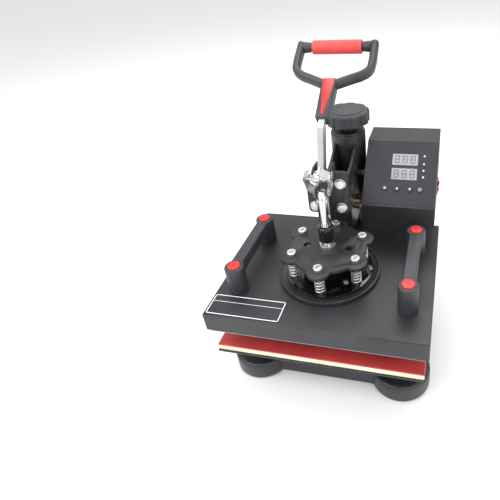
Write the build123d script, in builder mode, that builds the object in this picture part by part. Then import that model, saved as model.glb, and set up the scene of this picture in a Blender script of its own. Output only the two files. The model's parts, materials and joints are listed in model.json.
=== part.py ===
"""Swing-away heat press with a heated upper platen, a lever handle and a temperature control box.

Frame: X right, Y back, Z up, millimetres. The origin is the middle of the outline, on the floor.
"""
from build123d import *
import math
import os

os.makedirs("parts", exist_ok=True)

# ---------------------------------------------------------------- driving dimensions
RUN_FIT = 0.05             # radial clearance of a shaft that turns or slides in its bore
PIN_FIT = 0.04             # radial clearance of a pivot pin
LOOSE = 0.3                # gap between faces that pass each other

# Upper cover: the folded sheet box that holds the heater.
COVER_W = 380.0
COVER_FRONT = 142.0        # from the press axis to the cover's front edge
COVER_BACK = 168.0         # from the press axis to the cover's back edge
COVER_H = 36.0
COVER_WALL = 1.5
COVER_TOP = 195.0          # height of the cover's top above the floor at rest

# Column behind the platens.
COLUMN_Y_FROM_PRESS = 210.0
POST_R = 25.0
SHOULDER_R = 33.0
SHOULDER_TOP = 170.0
POST_TOP = 350.0
BUSH_R = 29.0
BUSH_CAP_BOTTOM = 372.0
SLEEVE_R = 35.0
SLEEVE_TOP = 383.0
NECK_R = 17.0
SCREW_R = 8.0
LIFT = 8.0                 # height that the pressure screw can raise the arm

# Base pan.
LOBE_X = 137.0
LOBE_Y_FROM_PRESS = -62.0
LOBE_R = 54.0
BAR_DEPTH = 44.0
SPINE_W = 84.0
RAIL_W = 34.0
REAR_LOBE_R = 57.0
PAN_BOTTOM = 5.0
PAN_TOP = 40.0
PAN_WALL = 3.0
PAN_EDGE_R = 7.0
FOOT_R = 13.0
FOOT_INSET = 2.0           # depth of a foot in the pan's boss
BOSS_R = 17.0

# Lower platen stack.
LOWER_W = 370.0
LOWER_FRONT = 134.0
LOWER_BACK = 160.0
PLATE_T = 3.5
FOAM_T = 11.0
SILICONE_T = 3.5
PAD_INSET = 1.5
SILICONE_TOP = 112.0       # height of the pad's working face above the floor

# Heater.
HEAT_PLATE_T = 12.0
HEAT_PLATE_DROP = 6.3      # how far the heater stands below the cover's edge
HEAT_PLATE_GAP = 2.5       # gap between the heater's edge and the cover's wall

# Press mechanism, from the cover's top upwards.
DISH_R = 92.4
DISH_T = 5.0
DISH_RIM = 3.0
LOBE_PLATE_R = 79.0
LOBE_PLATE_T = 3.5
BOLT_CIRCLE_R = 65.5
BOLT_COUNT = 6
STAR_BOTTOM = 50.0
STAR_T = 6.5
STAR_TIP_R = 20.5
STAR_WAIST_R = 69.0
STAR_HOLE_R = 6.5
STAR_HOLE_X = 38.0
SHOULDER_BOLT_R = 4.0
SHOULDER_HEAD_R = 8.2
SHOULDER_HEAD_H = 8.0
SPRING_R = 9.2
SPRING_WIRE_R = 1.2
SPRING_TURNS = 6
FLOAT = 5.0                # travel of the platen against its springs

ROD_R = 7.0
ROD_TOP = 173.0
HUB_NUT_R = 15.0
HUB_NUT_H = 8.0
COLLAR_R = 13.75
COLLAR_BOTTOM = 72.0
COLLAR_TOP = 102.0
BARREL_R = 10.0
BARREL_TOP = 158.0
BARREL_BOTTOM = 104.0
STROKE = 40.4              # travel of the plunger from open to closed

# Lever linkage in the plane X = 0, heights from the cover's top.
LEVER_PIVOT_Y = 12.0
LEVER_PIVOT_Z = 196.0
CRANK_R = 30.0
CRANK_ANGLE = 161.7        # degrees from +Y at rest
LINK_FOOT_Z = 168.0
LEVER_T = 10.0
EAR_IN = 12.0
EAR_T = 4.0
EAR_NOSE_R = 12.0
STRIP_T = 3.0
STRIP_OUT = 21.0
PIVOT_PIN_R = 4.0

# Arm.
MOUNT_HALF_W = 37.0
MOUNT_BOTTOM = 107.0
MOUNT_TOP = 190.0
MOUNT_FRONT = 31.0
MOUNT_T = 4.0
MOUNT_BOLT_X = 23.8
MOUNT_BOLT_LOW = 121.0
MOUNT_BOLT_HIGH = 169.0
MOUNT_BOLT_R = 4.0
MOUNT_HEAD_R = 8.5
ARM_IN = 17.5              # inner face of a side plate, from the middle
ARM_T = 5.0

# Control box, measured from the press axis and the cover's top.
BOX_LEFT = 43.2
BOX_W = 138.0
BOX_TOP = 174.0
BOX_BOTTOM = 41.4
BOX_FRONT = 101.0
BOX_TOP_FRONT = 197.0
BOX_BACK = 263.0
PANEL_FOOT = 81.7
BOX_WALL = 1.5

# Handle.
HANDLE_Y = 39.0
HANDLE_Z = 273.0
HANDLE_TILT = 32.7         # degrees of the handle above the horizontal, towards the back
HANDLE_TOP_S = 160.0
HANDLE_HALF_W = 66.0
GRIP_HALF_W = 44.0
GRIP_R = 11.8
GRIP_BAR_R = 8.0

# ---------------------------------------------------------------- places worked out from them
PRESS_Y = -(COLUMN_Y_FROM_PRESS + REAR_LOBE_R - COVER_FRONT) / 2
COLUMN_Y = PRESS_Y + COLUMN_Y_FROM_PRESS
LOBE_Y = PRESS_Y + LOBE_Y_FROM_PRESS
COVER_D = COVER_FRONT + COVER_BACK
COVER_Y = PRESS_Y + (COVER_BACK - COVER_FRONT) / 2
COVER_BOTTOM = COVER_TOP - COVER_H
LOWER_D = LOWER_FRONT + LOWER_BACK
LOWER_Y = PRESS_Y + (LOWER_BACK - LOWER_FRONT) / 2
FOAM_TOP = SILICONE_TOP - SILICONE_T
LOWER_PLATE_TOP = FOAM_TOP - FOAM_T
LOWER_PLATE_BOTTOM = LOWER_PLATE_TOP - PLATE_T
HEAT_BOTTOM = COVER_BOTTOM - HEAT_PLATE_DROP
HEAT_TOP = HEAT_BOTTOM + HEAT_PLATE_T
STAR_TOP = STAR_BOTTOM + STAR_T
PIVOT_Y = PRESS_Y + LEVER_PIVOT_Y
PIVOT_Z = COVER_TOP + LEVER_PIVOT_Z
CRANK_Y = PIVOT_Y + CRANK_R * math.cos(math.radians(CRANK_ANGLE))
CRANK_Z = PIVOT_Z + CRANK_R * math.sin(math.radians(CRANK_ANGLE))
FOOT_Z = COVER_TOP + LINK_FOOT_Z
ARM_OUT = ARM_IN + ARM_T
MOUNT_Y = PRESS_Y + MOUNT_FRONT


# ================================================================ base
FRONT_BAR_Y = LOBE_Y - LOBE_R / 2 + BAR_DEPTH / 2
RAIL_DY = COLUMN_Y - LOBE_Y
RAIL_LENGTH = math.hypot(LOBE_X, RAIL_DY)
RAIL_ANGLE = math.degrees(math.atan2(RAIL_DY, LOBE_X))
REAR_FOOT_X = 34.0
REAR_FOOT_Y = COLUMN_Y + 18.0
FOOT_PLACES = [
    (-LOBE_X, LOBE_Y),
    (LOBE_X, LOBE_Y),
    (-REAR_FOOT_X, REAR_FOOT_Y),
    (REAR_FOOT_X, REAR_FOOT_Y),
]
FOOT_BOSS_BOTTOM = PAN_BOTTOM + 1.0

# Pressed pan: two front lobes and a rear lobe joined by a front bar, a spine and two side rails.
with BuildPart() as base_pan:
    with BuildSketch(Plane.XY.offset(PAN_BOTTOM)) as pan_outline:
        with Locations((-LOBE_X, LOBE_Y), (LOBE_X, LOBE_Y)):
            Circle(LOBE_R)
        with Locations((0, COLUMN_Y)):
            Circle(REAR_LOBE_R)
        with Locations((0, FRONT_BAR_Y)):
            Rectangle(2 * LOBE_X, BAR_DEPTH)
        with Locations((0, (FRONT_BAR_Y + COLUMN_Y) / 2)):
            Rectangle(SPINE_W, COLUMN_Y - FRONT_BAR_Y)
        with Locations((LOBE_X / 2, (LOBE_Y + COLUMN_Y) / 2)):
            Rectangle(RAIL_LENGTH, RAIL_W, rotation=-RAIL_ANGLE)
        with Locations((-LOBE_X / 2, (LOBE_Y + COLUMN_Y) / 2)):
            Rectangle(RAIL_LENGTH, RAIL_W, rotation=RAIL_ANGLE)
    extrude(amount=PAN_TOP - PAN_BOTTOM)
    fillet(base_pan.faces().sort_by(Axis.Z)[-1].edges(), radius=PAN_EDGE_R)
    with BuildSketch(Plane.XY.offset(PAN_BOTTOM)):
        add(pan_outline.sketch_local)
        offset(amount=-PAN_WALL)
    extrude(amount=PAN_TOP - PAN_BOTTOM - PAN_EDGE_R, mode=Mode.SUBTRACT)
    with BuildSketch(Plane.XY.offset(FOOT_BOSS_BOTTOM)):
        with Locations(*FOOT_PLACES):
            Circle(BOSS_R)
    extrude(amount=PAN_TOP - PAN_EDGE_R - FOOT_BOSS_BOTTOM)
    with BuildSketch(Plane.XY.offset(FOOT_BOSS_BOTTOM)):
        with Locations(*FOOT_PLACES):
            Circle(FOOT_R)
    extrude(amount=FOOT_INSET, mode=Mode.SUBTRACT)
base_pan.part.label = "base_pan"
export_step(base_pan.part, "parts/base_pan.step")

# Rubber feet, pressed into the pan's bosses.
with BuildPart() as rubber_feet:
    with BuildSketch():
        with Locations(*FOOT_PLACES):
            Circle(FOOT_R)
    extrude(amount=FOOT_BOSS_BOTTOM + FOOT_INSET)
    chamfer(rubber_feet.faces().sort_by(Axis.Z)[:4].edges(), length=1.2)
rubber_feet.part.label = "rubber_feet"
export_step(rubber_feet.part, "parts/rubber_feet.step")

# Column: a flanged post that turns down to a bearing diameter above its shoulder.
FLANGE_R = 50.0
FLANGE_T = 8.0
FLANGE_BOLT_R = 4.0
FLANGE_BOLT_CIRCLE = 41.5
FLANGE_BOLTS = 4
FLANGE_HEAD_R = 6.5
FLANGE_HEAD_H = 6.0
with BuildPart() as column_post:
    with BuildSketch(Plane.XY.offset(PAN_TOP)):
        with Locations((0, COLUMN_Y)):
            Circle(FLANGE_R)
            with PolarLocations(FLANGE_BOLT_CIRCLE, FLANGE_BOLTS, start_angle=45):
                Circle(FLANGE_BOLT_R, mode=Mode.SUBTRACT)
    extrude(amount=FLANGE_T)
    with BuildSketch(Plane.XY.offset(PAN_TOP + FLANGE_T)):
        with Locations((0, COLUMN_Y)):
            Circle(SHOULDER_R)
    extrude(amount=SHOULDER_TOP - PAN_TOP - FLANGE_T)
    with BuildSketch(Plane.XY.offset(SHOULDER_TOP)):
        with Locations((0, COLUMN_Y)):
            Circle(POST_R)
    extrude(amount=POST_TOP - SHOULDER_TOP)
column_post.part.label = "column_post"
export_step(column_post.part, "parts/column_post.step")

with BuildPart() as flange_bolts:
    with BuildSketch(Plane.XY.offset(PAN_TOP)):
        with Locations((0, COLUMN_Y)):
            with PolarLocations(FLANGE_BOLT_CIRCLE, FLANGE_BOLTS, start_angle=45):
                Circle(FLANGE_BOLT_R)
    extrude(amount=FLANGE_T)
    with BuildSketch(Plane.XY.offset(PAN_TOP + FLANGE_T)):
        with Locations((0, COLUMN_Y)):
            with PolarLocations(FLANGE_BOLT_CIRCLE, FLANGE_BOLTS, start_angle=45):
                RegularPolygon(FLANGE_HEAD_R, 6)
    extrude(amount=FLANGE_HEAD_H)
flange_bolts.part.label = "flange_bolts"
export_step(flange_bolts.part, "parts/flange_bolts.step")

# Pedestal: a square tube with a flange on top that carries the lower platen.
PEDESTAL_W = 76.0
PEDESTAL_D = 150.0
PEDESTAL_WALL = 3.0
PEDESTAL_FLANGE_W = 150.0
PEDESTAL_FLANGE_T = 4.0
PLATEN_SCREW_X = 55.0
PLATEN_SCREW_Y = 55.0
PLATEN_SCREW_R = 3.0
PLATEN_HEAD_R = 5.5
PLATEN_HEAD_H = 2.5
with BuildPart() as pedestal:
    with BuildSketch(Plane.XY.offset(PAN_TOP)):
        with Locations((0, PRESS_Y)):
            Rectangle(PEDESTAL_W, PEDESTAL_D)
            Rectangle(PEDESTAL_W - 2 * PEDESTAL_WALL, PEDESTAL_D - 2 * PEDESTAL_WALL, mode=Mode.SUBTRACT)
    extrude(amount=LOWER_PLATE_BOTTOM - PEDESTAL_FLANGE_T - PAN_TOP)
    with BuildSketch(Plane.XY.offset(LOWER_PLATE_BOTTOM - PEDESTAL_FLANGE_T)):
        with Locations((0, PRESS_Y)):
            Rectangle(PEDESTAL_FLANGE_W, PEDESTAL_D)
            with GridLocations(2 * PLATEN_SCREW_X, 2 * PLATEN_SCREW_Y, 2, 2):
                Circle(PLATEN_SCREW_R, mode=Mode.SUBTRACT)
    extrude(amount=PEDESTAL_FLANGE_T)
pedestal.part.label = "pedestal"
export_step(pedestal.part, "parts/pedestal.step")

# Lower platen: a steel plate under a foam pad and a red silicone sheet.
with BuildPart() as lower_plate:
    with BuildSketch(Plane.XY.offset(LOWER_PLATE_BOTTOM)):
        with Locations((0, LOWER_Y)):
            Rectangle(LOWER_W, LOWER_D)
        with Locations((0, PRESS_Y)):
            with GridLocations(2 * PLATEN_SCREW_X, 2 * PLATEN_SCREW_Y, 2, 2):
                Circle(PLATEN_SCREW_R, mode=Mode.SUBTRACT)
    extrude(amount=PLATE_T)
    with BuildSketch(Plane.XY.offset(LOWER_PLATE_TOP - PLATEN_HEAD_H)):
        with Locations((0, PRESS_Y)):
            with GridLocations(2 * PLATEN_SCREW_X, 2 * PLATEN_SCREW_Y, 2, 2):
                Circle(PLATEN_HEAD_R)
    extrude(amount=PLATEN_HEAD_H, mode=Mode.SUBTRACT)
lower_plate.part.label = "lower_plate"
export_step(lower_plate.part, "parts/lower_plate.step")

with BuildPart() as platen_screws:
    with BuildSketch(Plane.XY.offset(LOWER_PLATE_BOTTOM - PEDESTAL_FLANGE_T)):
        with Locations((0, PRESS_Y)):
            with GridLocations(2 * PLATEN_SCREW_X, 2 * PLATEN_SCREW_Y, 2, 2):
                Circle(PLATEN_SCREW_R)
    extrude(amount=PEDESTAL_FLANGE_T + PLATE_T)
    with BuildSketch(Plane.XY.offset(LOWER_PLATE_TOP - PLATEN_HEAD_H)):
        with Locations((0, PRESS_Y)):
            with GridLocations(2 * PLATEN_SCREW_X, 2 * PLATEN_SCREW_Y, 2, 2):
                Circle(PLATEN_HEAD_R)
    extrude(amount=PLATEN_HEAD_H)
platen_screws.part.label = "platen_screws"
export_step(platen_screws.part, "parts/platen_screws.step")

with BuildPart() as foam_pad:
    with BuildSketch(Plane.XY.offset(LOWER_PLATE_TOP)):
        with Locations((0, LOWER_Y)):
            Rectangle(LOWER_W - 2 * PAD_INSET, LOWER_D - 2 * PAD_INSET)
    extrude(amount=FOAM_T)
foam_pad.part.label = "foam_pad"
export_step(foam_pad.part, "parts/foam_pad.step")

with BuildPart() as silicone_pad:
    with BuildSketch(Plane.XY.offset(FOAM_TOP)):
        with Locations((0, LOWER_Y)):
            Rectangle(LOWER_W - 2 * PAD_INSET, LOWER_D - 2 * PAD_INSET)
    extrude(amount=SILICONE_T)
silicone_pad.part.label = "silicone_pad"
export_step(silicone_pad.part, "parts/silicone_pad.step")

# ================================================================ column bearing and pressure screw
# The bush slides on the post and carries the arm. Its capped top holds the pressure screw's thread.
BUSH_FLANGE_T = 5.0
BUSH_CAP_TOP = SLEEVE_TOP + LOOSE
RETAINER_T = 4.0
NECK_TOP = 402.0
with BuildPart() as lift_bush:
    with BuildSketch(Plane.XY.offset(SHOULDER_TOP)):
        with Locations((0, COLUMN_Y)):
            Circle(SLEEVE_R)
            Circle(POST_R + RUN_FIT, mode=Mode.SUBTRACT)
    extrude(amount=BUSH_FLANGE_T)
    with BuildSketch(Plane.XY.offset(SHOULDER_TOP + BUSH_FLANGE_T)):
        with Locations((0, COLUMN_Y)):
            Circle(BUSH_R - RUN_FIT)
            Circle(POST_R + RUN_FIT, mode=Mode.SUBTRACT)
    extrude(amount=BUSH_CAP_BOTTOM - SHOULDER_TOP - BUSH_FLANGE_T)
    with BuildSketch(Plane.XY.offset(BUSH_CAP_BOTTOM)):
        with Locations((0, COLUMN_Y)):
            Circle(BUSH_R - RUN_FIT)
            Circle(SCREW_R + RUN_FIT, mode=Mode.SUBTRACT)
    extrude(amount=BUSH_CAP_TOP - BUSH_CAP_BOTTOM)
    with BuildSketch(Plane.XY.offset(BUSH_CAP_TOP)):
        with Locations((0, COLUMN_Y)):
            Circle(NECK_R)
            Circle(SCREW_R + RUN_FIT, mode=Mode.SUBTRACT)
    extrude(amount=NECK_TOP - BUSH_CAP_TOP)
lift_bush.part.label = "lift_bush"
export_step(lift_bush.part, "parts/lift_bush.step")

with BuildPart() as retaining_ring:
    with BuildSketch(Plane.XY.offset(BUSH_CAP_TOP)):
        with Locations((0, COLUMN_Y)):
            Circle(SLEEVE_R - 2.0)
            Circle(NECK_R + RUN_FIT, mode=Mode.SUBTRACT)
    extrude(amount=RETAINER_T)
    fillet(retaining_ring.edges().group_by(Axis.Z)[-1].sort_by(SortBy.LENGTH)[-1], radius=1.5)
retaining_ring.part.label = "retaining_ring"
export_step(retaining_ring.part, "parts/retaining_ring.step")

# Pressure knob: a fluted cap, hollow below so that the neck can rise into it.
KNOB_R = 44.5
KNOB_BOTTOM = 403.0
KNOB_TOP = 426.0
KNOB_RECESS_R = 20.0
KNOB_RECESS_TOP = 415.0
KNOB_FLUTES = 10
KNOB_FLUTE_R = 9.0
KNOB_FLUTE_DEPTH = 3.0
SCREW_HEAD_TOP = 421.0
with BuildPart() as pressure_knob:
    with BuildSketch(Plane.XY.offset(KNOB_BOTTOM)):
        with Locations((0, COLUMN_Y)):
            Circle(KNOB_R)
            with PolarLocations(KNOB_R + KNOB_FLUTE_R - KNOB_FLUTE_DEPTH, KNOB_FLUTES):
                Circle(KNOB_FLUTE_R, mode=Mode.SUBTRACT)
    extrude(amount=KNOB_TOP - KNOB_BOTTOM)
    fillet(pressure_knob.faces().sort_by(Axis.Z)[-1].edges(), radius=4.0)
    with BuildSketch(Plane.XY.offset(KNOB_BOTTOM)):
        with Locations((0, COLUMN_Y)):
            Circle(KNOB_RECESS_R)
    extrude(amount=KNOB_RECESS_TOP - KNOB_BOTTOM, mode=Mode.SUBTRACT)
    with BuildSketch(Plane.XY.offset(KNOB_RECESS_TOP)):
        with Locations((0, COLUMN_Y)):
            Circle(SCREW_R)
    extrude(amount=SCREW_HEAD_TOP - KNOB_RECESS_TOP, mode=Mode.SUBTRACT)
pressure_knob.part.label = "pressure_knob"
export_step(pressure_knob.part, "parts/pressure_knob.step")

with BuildPart() as pressure_screw:
    with BuildSketch(Plane.XY.offset(POST_TOP)):
        with Locations((0, COLUMN_Y)):
            Circle(SCREW_R)
    extrude(amount=SCREW_HEAD_TOP - POST_TOP)
    chamfer(pressure_screw.edges().group_by(Axis.Z)[0], length=1.5)
pressure_screw.part.label = "pressure_screw"
export_step(pressure_screw.part, "parts/pressure_screw.step")

# ================================================================ arm
with BuildPart() as arm_sleeve:
    with BuildSketch(Plane.XY.offset(SHOULDER_TOP + BUSH_FLANGE_T)):
        with Locations((0, COLUMN_Y)):
            Circle(SLEEVE_R)
            Circle(BUSH_R, mode=Mode.SUBTRACT)
    extrude(amount=SLEEVE_TOP - SHOULDER_TOP - BUSH_FLANGE_T)
    fillet(arm_sleeve.edges().group_by(Axis.Z)[-1].sort_by(SortBy.LENGTH)[-1], radius=2.0)
arm_sleeve.part.label = "arm_sleeve"
export_step(arm_sleeve.part, "parts/arm_sleeve.step")

# Side plates: cut from flat steel, with a long curved belly, welded to the sleeve.
ARM_FRONT_Y = MOUNT_Y + 2 * MOUNT_T
ARM_REAR_Y = COLUMN_Y
ARM_TOP_FRONT = COVER_TOP + 150.0
ARM_TOP_REAR = COVER_TOP + 184.0
ARM_RISE_Y = PRESS_Y + 124.0
ARM_BELLY_Y = PRESS_Y + 112.0
ARM_BELLY_Z = COVER_TOP + 12.0
ARM_BELLY_R = 18.0
ARM_THROAT_Y = PRESS_Y + 98.0
ARM_THROAT_Z = COVER_TOP + 86.0
ARM_CHIN_Z = COVER_TOP + MOUNT_BOTTOM
BOX_BOLT_PLACES = [
    (PRESS_Y + 130.0, COVER_TOP + 62.0),
    (PRESS_Y + 162.0, COVER_TOP + 62.0),
    (PRESS_Y + 162.0, COVER_TOP + 118.0),
]
BOX_BOLT_R = 4.0


# Outline of a side plate, drawn in Y and Z: an arched top and a belly that clears the star plate.
with BuildLine() as arm_outline:
    Line((ARM_FRONT_Y, ARM_CHIN_Z), (ARM_FRONT_Y, ARM_TOP_FRONT))
    Line((ARM_FRONT_Y, ARM_TOP_FRONT), (ARM_RISE_Y, ARM_TOP_FRONT))
    TangentArc((ARM_RISE_Y, ARM_TOP_FRONT), (ARM_REAR_Y, ARM_TOP_REAR), tangent=(1, 0.35))
    Line((ARM_REAR_Y, ARM_TOP_REAR), (ARM_REAR_Y, ARM_BELLY_Z))
    FilletPolyline(
        (ARM_REAR_Y, ARM_BELLY_Z),
        (ARM_BELLY_Y, ARM_BELLY_Z),
        (ARM_THROAT_Y, ARM_THROAT_Z),
        (ARM_FRONT_Y, ARM_CHIN_Z),
        radius=ARM_BELLY_R,
    )

with BuildPart() as arm_side_plates:
    for inner_face in (-ARM_OUT, ARM_IN):
        with BuildSketch(Plane.YZ.offset(inner_face)):
            add(arm_outline.line)
            make_face()
        extrude(amount=ARM_T)
    with BuildSketch(Plane.YZ.offset(ARM_IN)):
        with Locations(*BOX_BOLT_PLACES):
            Circle(BOX_BOLT_R)
    extrude(amount=ARM_T, mode=Mode.SUBTRACT)
    with BuildSketch(Plane.XY):
        with Locations((0, COLUMN_Y)):
            Circle(SLEEVE_R)
    extrude(amount=SLEEVE_TOP + LIFT, mode=Mode.SUBTRACT)
arm_side_plates.part.label = "arm_side_plates"
export_step(arm_side_plates.part, "parts/arm_side_plates.step")

# Belly web: a bent strip between the side plates that closes the arm from below.
WEB_T = 3.0
with BuildLine() as belly_line:
    FilletPolyline(
        (ARM_REAR_Y, ARM_BELLY_Z + WEB_T / 2),
        (ARM_BELLY_Y + WEB_T / 2, ARM_BELLY_Z + WEB_T / 2),
        (ARM_THROAT_Y + WEB_T / 2, ARM_THROAT_Z + WEB_T / 2),
        (ARM_FRONT_Y, ARM_CHIN_Z + WEB_T / 2),
        radius=ARM_BELLY_R,
    )
with BuildPart() as arm_web:
    with BuildSketch(Plane.YZ.offset(-ARM_IN)):
        trace(belly_line.line, line_width=WEB_T)
    extrude(amount=2 * ARM_IN)
    with BuildSketch(Plane.XZ.offset(-ARM_FRONT_Y)):
        with Locations((0, ARM_CHIN_Z)):
            Rectangle(2 * ARM_OUT, 4 * WEB_T)
    extrude(amount=2 * WEB_T, mode=Mode.SUBTRACT)
    with BuildSketch(Plane.XY):
        with Locations((0, COLUMN_Y)):
            Circle(SLEEVE_R)
    extrude(amount=SLEEVE_TOP + LIFT, mode=Mode.SUBTRACT)
arm_web.part.label = "arm_web"
export_step(arm_web.part, "parts/arm_web.step")

# Front flange of the arm, and the mounting bracket bolted to it.
MOUNT_BOLT_PLACES = [
    (x, z)
    for x in (-MOUNT_BOLT_X, MOUNT_BOLT_X)
    for z in (COVER_TOP + MOUNT_BOLT_LOW, COVER_TOP + MOUNT_BOLT_HIGH)
]
MOUNT_MID_Z = COVER_TOP + (MOUNT_BOTTOM + MOUNT_TOP) / 2
MOUNT_H = MOUNT_TOP - MOUNT_BOTTOM
MOUNT_CORNER_R = 8.0
with BuildPart() as arm_front_plate:
    with BuildSketch(Plane.XZ.offset(-ARM_FRONT_Y)):
        with Locations((0, MOUNT_MID_Z)):
            RectangleRounded(2 * MOUNT_HALF_W, MOUNT_H, MOUNT_CORNER_R)
        with Locations(*MOUNT_BOLT_PLACES):
            Circle(MOUNT_BOLT_R, mode=Mode.SUBTRACT)
    extrude(amount=MOUNT_T)
arm_front_plate.part.label = "arm_front_plate"
export_step(arm_front_plate.part, "parts/arm_front_plate.step")

BARREL_WEB_HALF_T = 4.0
BARREL_WEB_INSET = 6.0     # how far the web stops short of the barrel's ends
BARREL_WEB_Y = PRESS_Y + (MOUNT_FRONT + BARREL_R) / 2
BARREL_WEB_Z = COVER_TOP + (BARREL_BOTTOM + BARREL_TOP) / 2
with BuildPart() as mount_bracket:
    with BuildSketch(Plane.XZ.offset(-MOUNT_Y - MOUNT_T)):
        with Locations((0, MOUNT_MID_Z)):
            RectangleRounded(2 * MOUNT_HALF_W, MOUNT_H, MOUNT_CORNER_R)
        with Locations(*MOUNT_BOLT_PLACES):
            Circle(MOUNT_BOLT_R, mode=Mode.SUBTRACT)
    extrude(amount=MOUNT_T)
    for inner_face in (-EAR_IN - EAR_T, EAR_IN):
        with BuildSketch(Plane.YZ.offset(inner_face)):
            with Locations((PIVOT_Y, PIVOT_Z)):
                Circle(EAR_NOSE_R)
            with Locations(((PIVOT_Y + MOUNT_Y + MOUNT_T) / 2, PIVOT_Z)):
                Rectangle(MOUNT_Y + MOUNT_T - PIVOT_Y, 2 * EAR_NOSE_R)
            with Locations((PIVOT_Y, PIVOT_Z)):
                Circle(PIVOT_PIN_R, mode=Mode.SUBTRACT)
        extrude(amount=EAR_T)
    with BuildSketch(Plane.YZ.offset(-BARREL_WEB_HALF_T)):
        with Locations((BARREL_WEB_Y, BARREL_WEB_Z)):
            Rectangle(MOUNT_FRONT - BARREL_R + 2 * LOOSE, BARREL_TOP - BARREL_BOTTOM - 2 * BARREL_WEB_INSET)
    extrude(amount=2 * BARREL_WEB_HALF_T)
    with BuildSketch(Plane.XY.offset(COVER_TOP)):
        with Locations((0, PRESS_Y)):
            Circle(BARREL_R)
    extrude(amount=BARREL_TOP, mode=Mode.SUBTRACT)
mount_bracket.part.label = "mount_bracket"
export_step(mount_bracket.part, "parts/mount_bracket.step")

MOUNT_HEAD_H = 5.0
MOUNT_WASHER_R = 10.0
MOUNT_WASHER_T = 1.6
with BuildPart() as mount_bolts:
    with BuildSketch(Plane.XZ.offset(-ARM_FRONT_Y)):
        with Locations(*MOUNT_BOLT_PLACES):
            Circle(MOUNT_BOLT_R)
    extrude(amount=2 * MOUNT_T)
    with BuildSketch(Plane.XZ.offset(-MOUNT_Y)):
        with Locations(*MOUNT_BOLT_PLACES):
            Circle(MOUNT_WASHER_R)
    extrude(amount=MOUNT_WASHER_T)
    with BuildSketch(Plane.XZ.offset(-MOUNT_Y + MOUNT_WASHER_T)):
        with Locations(*MOUNT_BOLT_PLACES):
            Circle(MOUNT_HEAD_R)
    extrude(amount=MOUNT_HEAD_H)
    fillet(mount_bolts.edges().group_by(Axis.Y)[0], radius=2.0)
mount_bolts.part.label = "mount_bolts"
export_step(mount_bolts.part, "parts/mount_bolts.step")

# Guide barrel: the chromed tube that the plunger rod runs in, slotted on both sides for the links.
SLOT_W = 9.0
SLOT_BOTTOM = FOOT_Z - STROKE - SLOT_W
with BuildPart() as guide_barrel:
    with BuildSketch(Plane.XY.offset(COVER_TOP + BARREL_BOTTOM)):
        with Locations((0, PRESS_Y)):
            Circle(BARREL_R)
            Circle(ROD_R + RUN_FIT, mode=Mode.SUBTRACT)
    extrude(amount=BARREL_TOP - BARREL_BOTTOM)
    with BuildSketch(Plane.YZ.offset(-BARREL_R)):
        with Locations((PRESS_Y, (SLOT_BOTTOM + FOOT_Z + SLOT_W) / 2)):
            SlotOverall(FOOT_Z + SLOT_W - SLOT_BOTTOM, SLOT_W, rotation=90)
    extrude(amount=2 * BARREL_R, mode=Mode.SUBTRACT)
guide_barrel.part.label = "guide_barrel"
export_step(guide_barrel.part, "parts/guide_barrel.step")

PIVOT_HEAD_R = 6.5
PIVOT_HEAD_T = 1.5
with BuildPart() as lever_pivot_pin:
    with BuildSketch(Plane.YZ.offset(-EAR_IN - EAR_T)):
        with Locations((PIVOT_Y, PIVOT_Z)):
            Circle(PIVOT_PIN_R)
    extrude(amount=2 * (EAR_IN + EAR_T))
    for head_face in (-EAR_IN - EAR_T - PIVOT_HEAD_T, EAR_IN + EAR_T):
        with BuildSketch(Plane.YZ.offset(head_face)):
            with Locations((PIVOT_Y, PIVOT_Z)):
                Circle(PIVOT_HEAD_R)
        extrude(amount=PIVOT_HEAD_T)
lever_pivot_pin.part.label = "lever_pivot_pin"
export_step(lever_pivot_pin.part, "parts/lever_pivot_pin.step")

# ================================================================ lever, links and handle
LEVER_BOSS_R = 13.0
LEVER_NOSE_R = 7.5
LEVER_BAR_W = 19.0
TANG_W = 14.0
HANDLE_DIR = (math.cos(math.radians(HANDLE_TILT)), math.sin(math.radians(HANDLE_TILT)))
HANDLE_FOOT_Y = PRESS_Y + HANDLE_Y
HANDLE_FOOT_Z = COVER_TOP + HANDLE_Z
TANG_LENGTH = 50.0
TANG_END_Y = HANDLE_FOOT_Y + TANG_LENGTH * HANDLE_DIR[0]
TANG_END_Z = HANDLE_FOOT_Z + TANG_LENGTH * HANDLE_DIR[1]
BEND_Y = HANDLE_FOOT_Y - 5.0
BEND_Z = HANDLE_FOOT_Z - 4.0


def draw_bar(start, end, width):
    """A round-ended bar between two points of the current sketch plane."""
    length = math.dist(start, end)
    angle = math.degrees(math.atan2(end[1] - start[1], end[0] - start[0]))
    with Locations(((start[0] + end[0]) / 2, (start[1] + end[1]) / 2)):
        SlotCenterToCenter(length, width, rotation=angle)


with BuildPart() as lever:
    with BuildSketch(Plane.YZ.offset(-LEVER_T / 2)):
        with Locations((PIVOT_Y, PIVOT_Z)):
            Circle(LEVER_BOSS_R)
        draw_bar((CRANK_Y, CRANK_Z), (PIVOT_Y, PIVOT_Z), 2 * LEVER_NOSE_R)
        draw_bar((PIVOT_Y, PIVOT_Z), (BEND_Y, BEND_Z), LEVER_BAR_W)
        draw_bar((BEND_Y, BEND_Z), (TANG_END_Y, TANG_END_Z), TANG_W)
        with Locations((PIVOT_Y, PIVOT_Z)):
            Circle(PIVOT_PIN_R + PIN_FIT, mode=Mode.SUBTRACT)
        with Locations((CRANK_Y, CRANK_Z)):
            Circle(PIVOT_PIN_R + PIN_FIT, mode=Mode.SUBTRACT)
    extrude(amount=LEVER_T)
lever.part.label = "lever"
export_step(lever.part, "parts/lever.step")

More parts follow.
